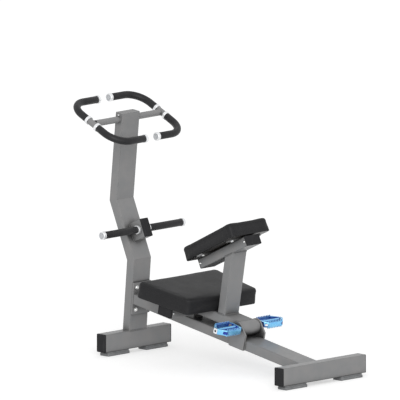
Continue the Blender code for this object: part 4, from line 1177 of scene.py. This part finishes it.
def rail_panel():
    """The raised panel milled on a rail's face, with softened edges."""
    low, high = PANEL
    depth = PANEL_RISE + 2.0
    panel = slab(high - low, depth, 2 * PEDAL_HALF_HEIGHT - 7.0,
                 ((low + high) / 2, depth / 2 - PEDAL_HALF_DEPTH, 1.5))
    edit(panel)
    pick(panel, "edges", lambda a, b: max(a.y, b.y) < 0.1 - PEDAL_HALF_DEPTH)
    bevel(1.2, 2)
    return close_edit(panel)


def corner_slot(width):
    """A rounded slot cut through a corner's wall, to save weight. It points along -Y."""
    slot = slab(width, 22.0, 15.0)
    edit(slot)
    pick(slot, "edges", lambda a, b: abs(a.y - b.y) > 5)
    bevel(3.5, 4)
    return close_edit(slot)


def traction_tooth():
    """One tapered tooth that stands on Z 0, its root sunk 1 mm into the rail."""
    tooth = slab(6.0, 6.0, 7.5, (0.0, 0.0, 2.75))
    edit(tooth)
    pick(tooth, "faces", looks_up)
    bpy.ops.transform.resize(value=(0.4, 0.5, 1.0))
    pick(tooth, "edges", over(6.4))
    bevel(0.5, 2)
    return close_edit(tooth)


def pedal_body():
    cage = pedal_cage()
    barrel = disc(BARREL_RADIUS, 0.0, PEDAL_OUTER - PEDAL_INNER - 6.0, 32)
    edit(barrel)
    pick(barrel, "edges", level)
    bevel(1.0, 2)
    close_edit(barrel)
    combine(cage, moved(barrel, shift(PEDAL_INNER + 3.0) @ facing(x=1)), "UNION")
    for way in (-1, 1):
        panel = rail_panel()
        outer_slot = corner_slot(24.0)
        moved(outer_slot, shift(PEDAL_OUTER - 28.0, 5.0 - PEDAL_HALF_DEPTH)
              @ Matrix.Rotation(math.radians(45), 4, "Z"))
        inner_slot = corner_slot(14.0)
        moved(inner_slot, shift(PEDAL_INNER + 10.0, 10.0 - PEDAL_HALF_DEPTH)
              @ Matrix.Rotation(math.radians(-45), 4, "Z"))
        for item, operation in ((panel, "UNION"), (outer_slot, "DIFFERENCE"), (inner_slot, "DIFFERENCE")):
            if way > 0:
                mirrored(item, (0.0, 1.0, 0.0))
            combine(cage, item, operation)
    for radius, low, high in BORES:
        combine(cage, moved(disc(radius, low, high, 24), shift(PEDAL_INNER) @ facing(x=1)), "DIFFERENCE")
    return cage


def tooth_rows():
    """The four rows of teeth, on the front and rear rails, above and below, as one piece."""
    tooth = traction_tooth()
    teeth = []
    for i in range(TOOTH_COUNT):
        for way in (-1, 1):
            for turn in (0.0, math.pi):
                place = shift(TOOTH_FIRST + TOOTH_PITCH * i, way * TOOTH_ROW)
                raised = Matrix.Rotation(turn, 4, "X") @ shift(z=PEDAL_HALF_HEIGHT)
                teeth.append(moved(copy_of(tooth), place @ raised))
    discard(tooth)
    begin()
    for twin in teeth:
        twin.select_set(True)
    bpy.context.view_layer.objects.active = teeth[0]
    bpy.ops.object.join()
    return teeth[0]


def end_plate():
    """The bare aluminium plate on the pedal's outer end, made facing +Z, with the bore in its middle. Its
    bright metal also stands in as a painted highlight for the light the outer end catches.
    """
    plate = slab(24.0, 27.0, 2.4, (0.0, 0.0, 1.0))
    edit(plate)
    pick(plate, "edges", upright)
    bevel(5.0, 4)
    pick(plate, "edges", over(2.0))
    bevel(0.8, 2)
    close_edit(plate)
    return combine(plate, disc(6.2, -3.0, 5.0, 28), "DIFFERENCE")


def dust_plug():
    """The plastic plug in the bore: a dished face with a small grip hole."""
    plug = disc(5.9, -8.0, 0.6, 28)
    edit(plug)
    pick(plug, "faces", looks_up)
    inset(1.2)
    push(z=-1.0)
    inset(2.6)
    push(z=-2.0)
    return close_edit(plug)


def make_pedals():
    outer_end = shift(PEDAL_OUTER) @ facing(x=1)
    for kind, pattern, finish in (("cage", pedal_body(), "blue_anodised_aluminium"),
                                  ("teeth", tooth_rows(), "blue_anodised_aluminium"),
                                  # The end plate's bright aluminium also stands in as a painted highlight on
                                  # the pedal's outer end.
                                  ("end_plate", moved(end_plate(), outer_end), "bright_aluminium"),
                                  ("dust_plug", moved(dust_plug(), outer_end), "black_plastic")):
        for side, side_name in SIDES:
            piece = copy_of(pattern)
            if side < 0:
                mirrored(piece)
            replaced = [f"pedal_{side_name}"] if kind == "cage" else []
            settle(piece, f"pedal_{kind}_{side_name}", PEDALS[side_name], finish, f"{side_name}_pedal",
                   *replaced)
        discard(pattern)


# Weld beads

def weld(name, width, height, corner, radius, matrix, body):
    """A bead round a tube's outline, laid flat in the frame's XY plane."""
    begin()
    bpy.ops.mesh.primitive_plane_add(size=1.0)
    line = bpy.context.object
    line.scale = (width * MM, height * MM, 1.0)
    bpy.ops.object.transform_apply(location=False, rotation=False, scale=True)
    round_outline(line, corner, 6)
    bpy.ops.object.mode_set(mode="OBJECT")
    settle(cord_of(line, radius, 2), name, matrix, "powder_coated_steel", body)


def fillet(name, length, radius, matrix, body):
    """A straight bead along Z."""
    bead = slab(2 * radius, 2 * radius, length)
    edit(bead)
    pick(bead, "edges", upright)
    bevel(radius * 0.9, 3)
    settle(close_edit(bead), name, matrix, "powder_coated_steel", body)


def make_welds():
    column_top = slope_frame(*HOOP_CENTRE, COLUMN_SLOPES[2])
    beads = (
        ("column_foot", 120.0, 50.2, slope_frame(-25.1, 110.3, 0.0), "floor_frame"),
        ("beam_flange", 120.0, 51.0, FLANGE @ shift(y=-10.8, z=FLANGE_MIDDLE) @ facing(y=-1),
         "floor_frame"),
        ("beam_front", 120.0, 50.8, slope_frame(1220.4, 61.2, 0.0) @ facing(y=-1), "floor_frame"),
        ("mid_stub", *STUB, MID_HANDLE @ shift(y=-0.8) @ facing(y=-1), "floor_frame"),
        ("post_foot", *SUPPORT_TUBE, ROCKER @ shift(y=135.0, z=38.0), "seat_frame"),
        ("post_top", 100.0, 61.4, SADDLE @ shift(y=-213.5, z=-0.4), "seat_frame"),
        ("rail_end", *SUPPORT_TUBE, ROCKER @ shift(y=289.4, z=RAIL_MIDDLE) @ facing(y=-1), "seat_frame"),
    )
    for name, width, height, place, body in beads:
        weld(f"weld_{name}", width, height, 6.0, 2.6, place, body)
    for side, side_name in SIDES:
        weld(f"weld_cross_tube_{side_name}", 2 * BAR_RADIUS, 2 * BAR_RADIUS, BAR_RADIUS - 0.01, 2.4,
             column_top @ shift(side * 60.0) @ facing(x=side), "floor_frame")
        for end_name, y, lean in (("front", -62.0, 4.6), ("rear", 40.5, 0.0)):
            place = ROCKER @ shift(side * 61.0, y, -65.0) @ Matrix.Rotation(math.radians(lean), 4, "X")
            fillet(f"weld_cheek_{end_name}_{side_name}", 49.0, 2.4, place, "floor_frame")
    fillet("weld_barrel", 112.0, 1.8, ROCKER @ shift(y=4.8, z=36.6) @ facing(x=1), "seat_frame")


def dress_nodes():
    for node in nodes.values():
        for holder in node.material_slots:
            holder.material = finishes[holder.material.name.split(".")[0]]


def build():
    bpy.context.scene.view_settings.view_transform = "Standard"
    place_camera()
    light_world()
    place_sun("key_sun", azimuth=-43.0, elevation=18.0, strength=1.9, spread=45.0)
    place_floor()
    finishes.update({
        "powder_coated_steel": powder_coat(),
        "black_plastic": moulded_polyethylene(),
        "grip_rubber": foam_rubber(),
        "black_vinyl": leathercloth(),
        "bright_aluminium": turned_aluminium(),
        "zinc_plated_steel": bright_zinc(),
        "turned_steel": turned_shaft(),
        "bronze": sintered_bronze(),
        "blue_anodised_aluminium": blue_anodising(),
        "grey_rubber": moulded_foot_rubber(),
        "black_rubber": moulded_bumper_rubber(),
        "plywood": stained_plywood(),
    })
    dress_nodes()
    make_pads()
    make_bars()
    make_round_fittings()
    make_caps()
    make_feet()
    make_fasteners()
    make_welds()
    make_pedals()


build()
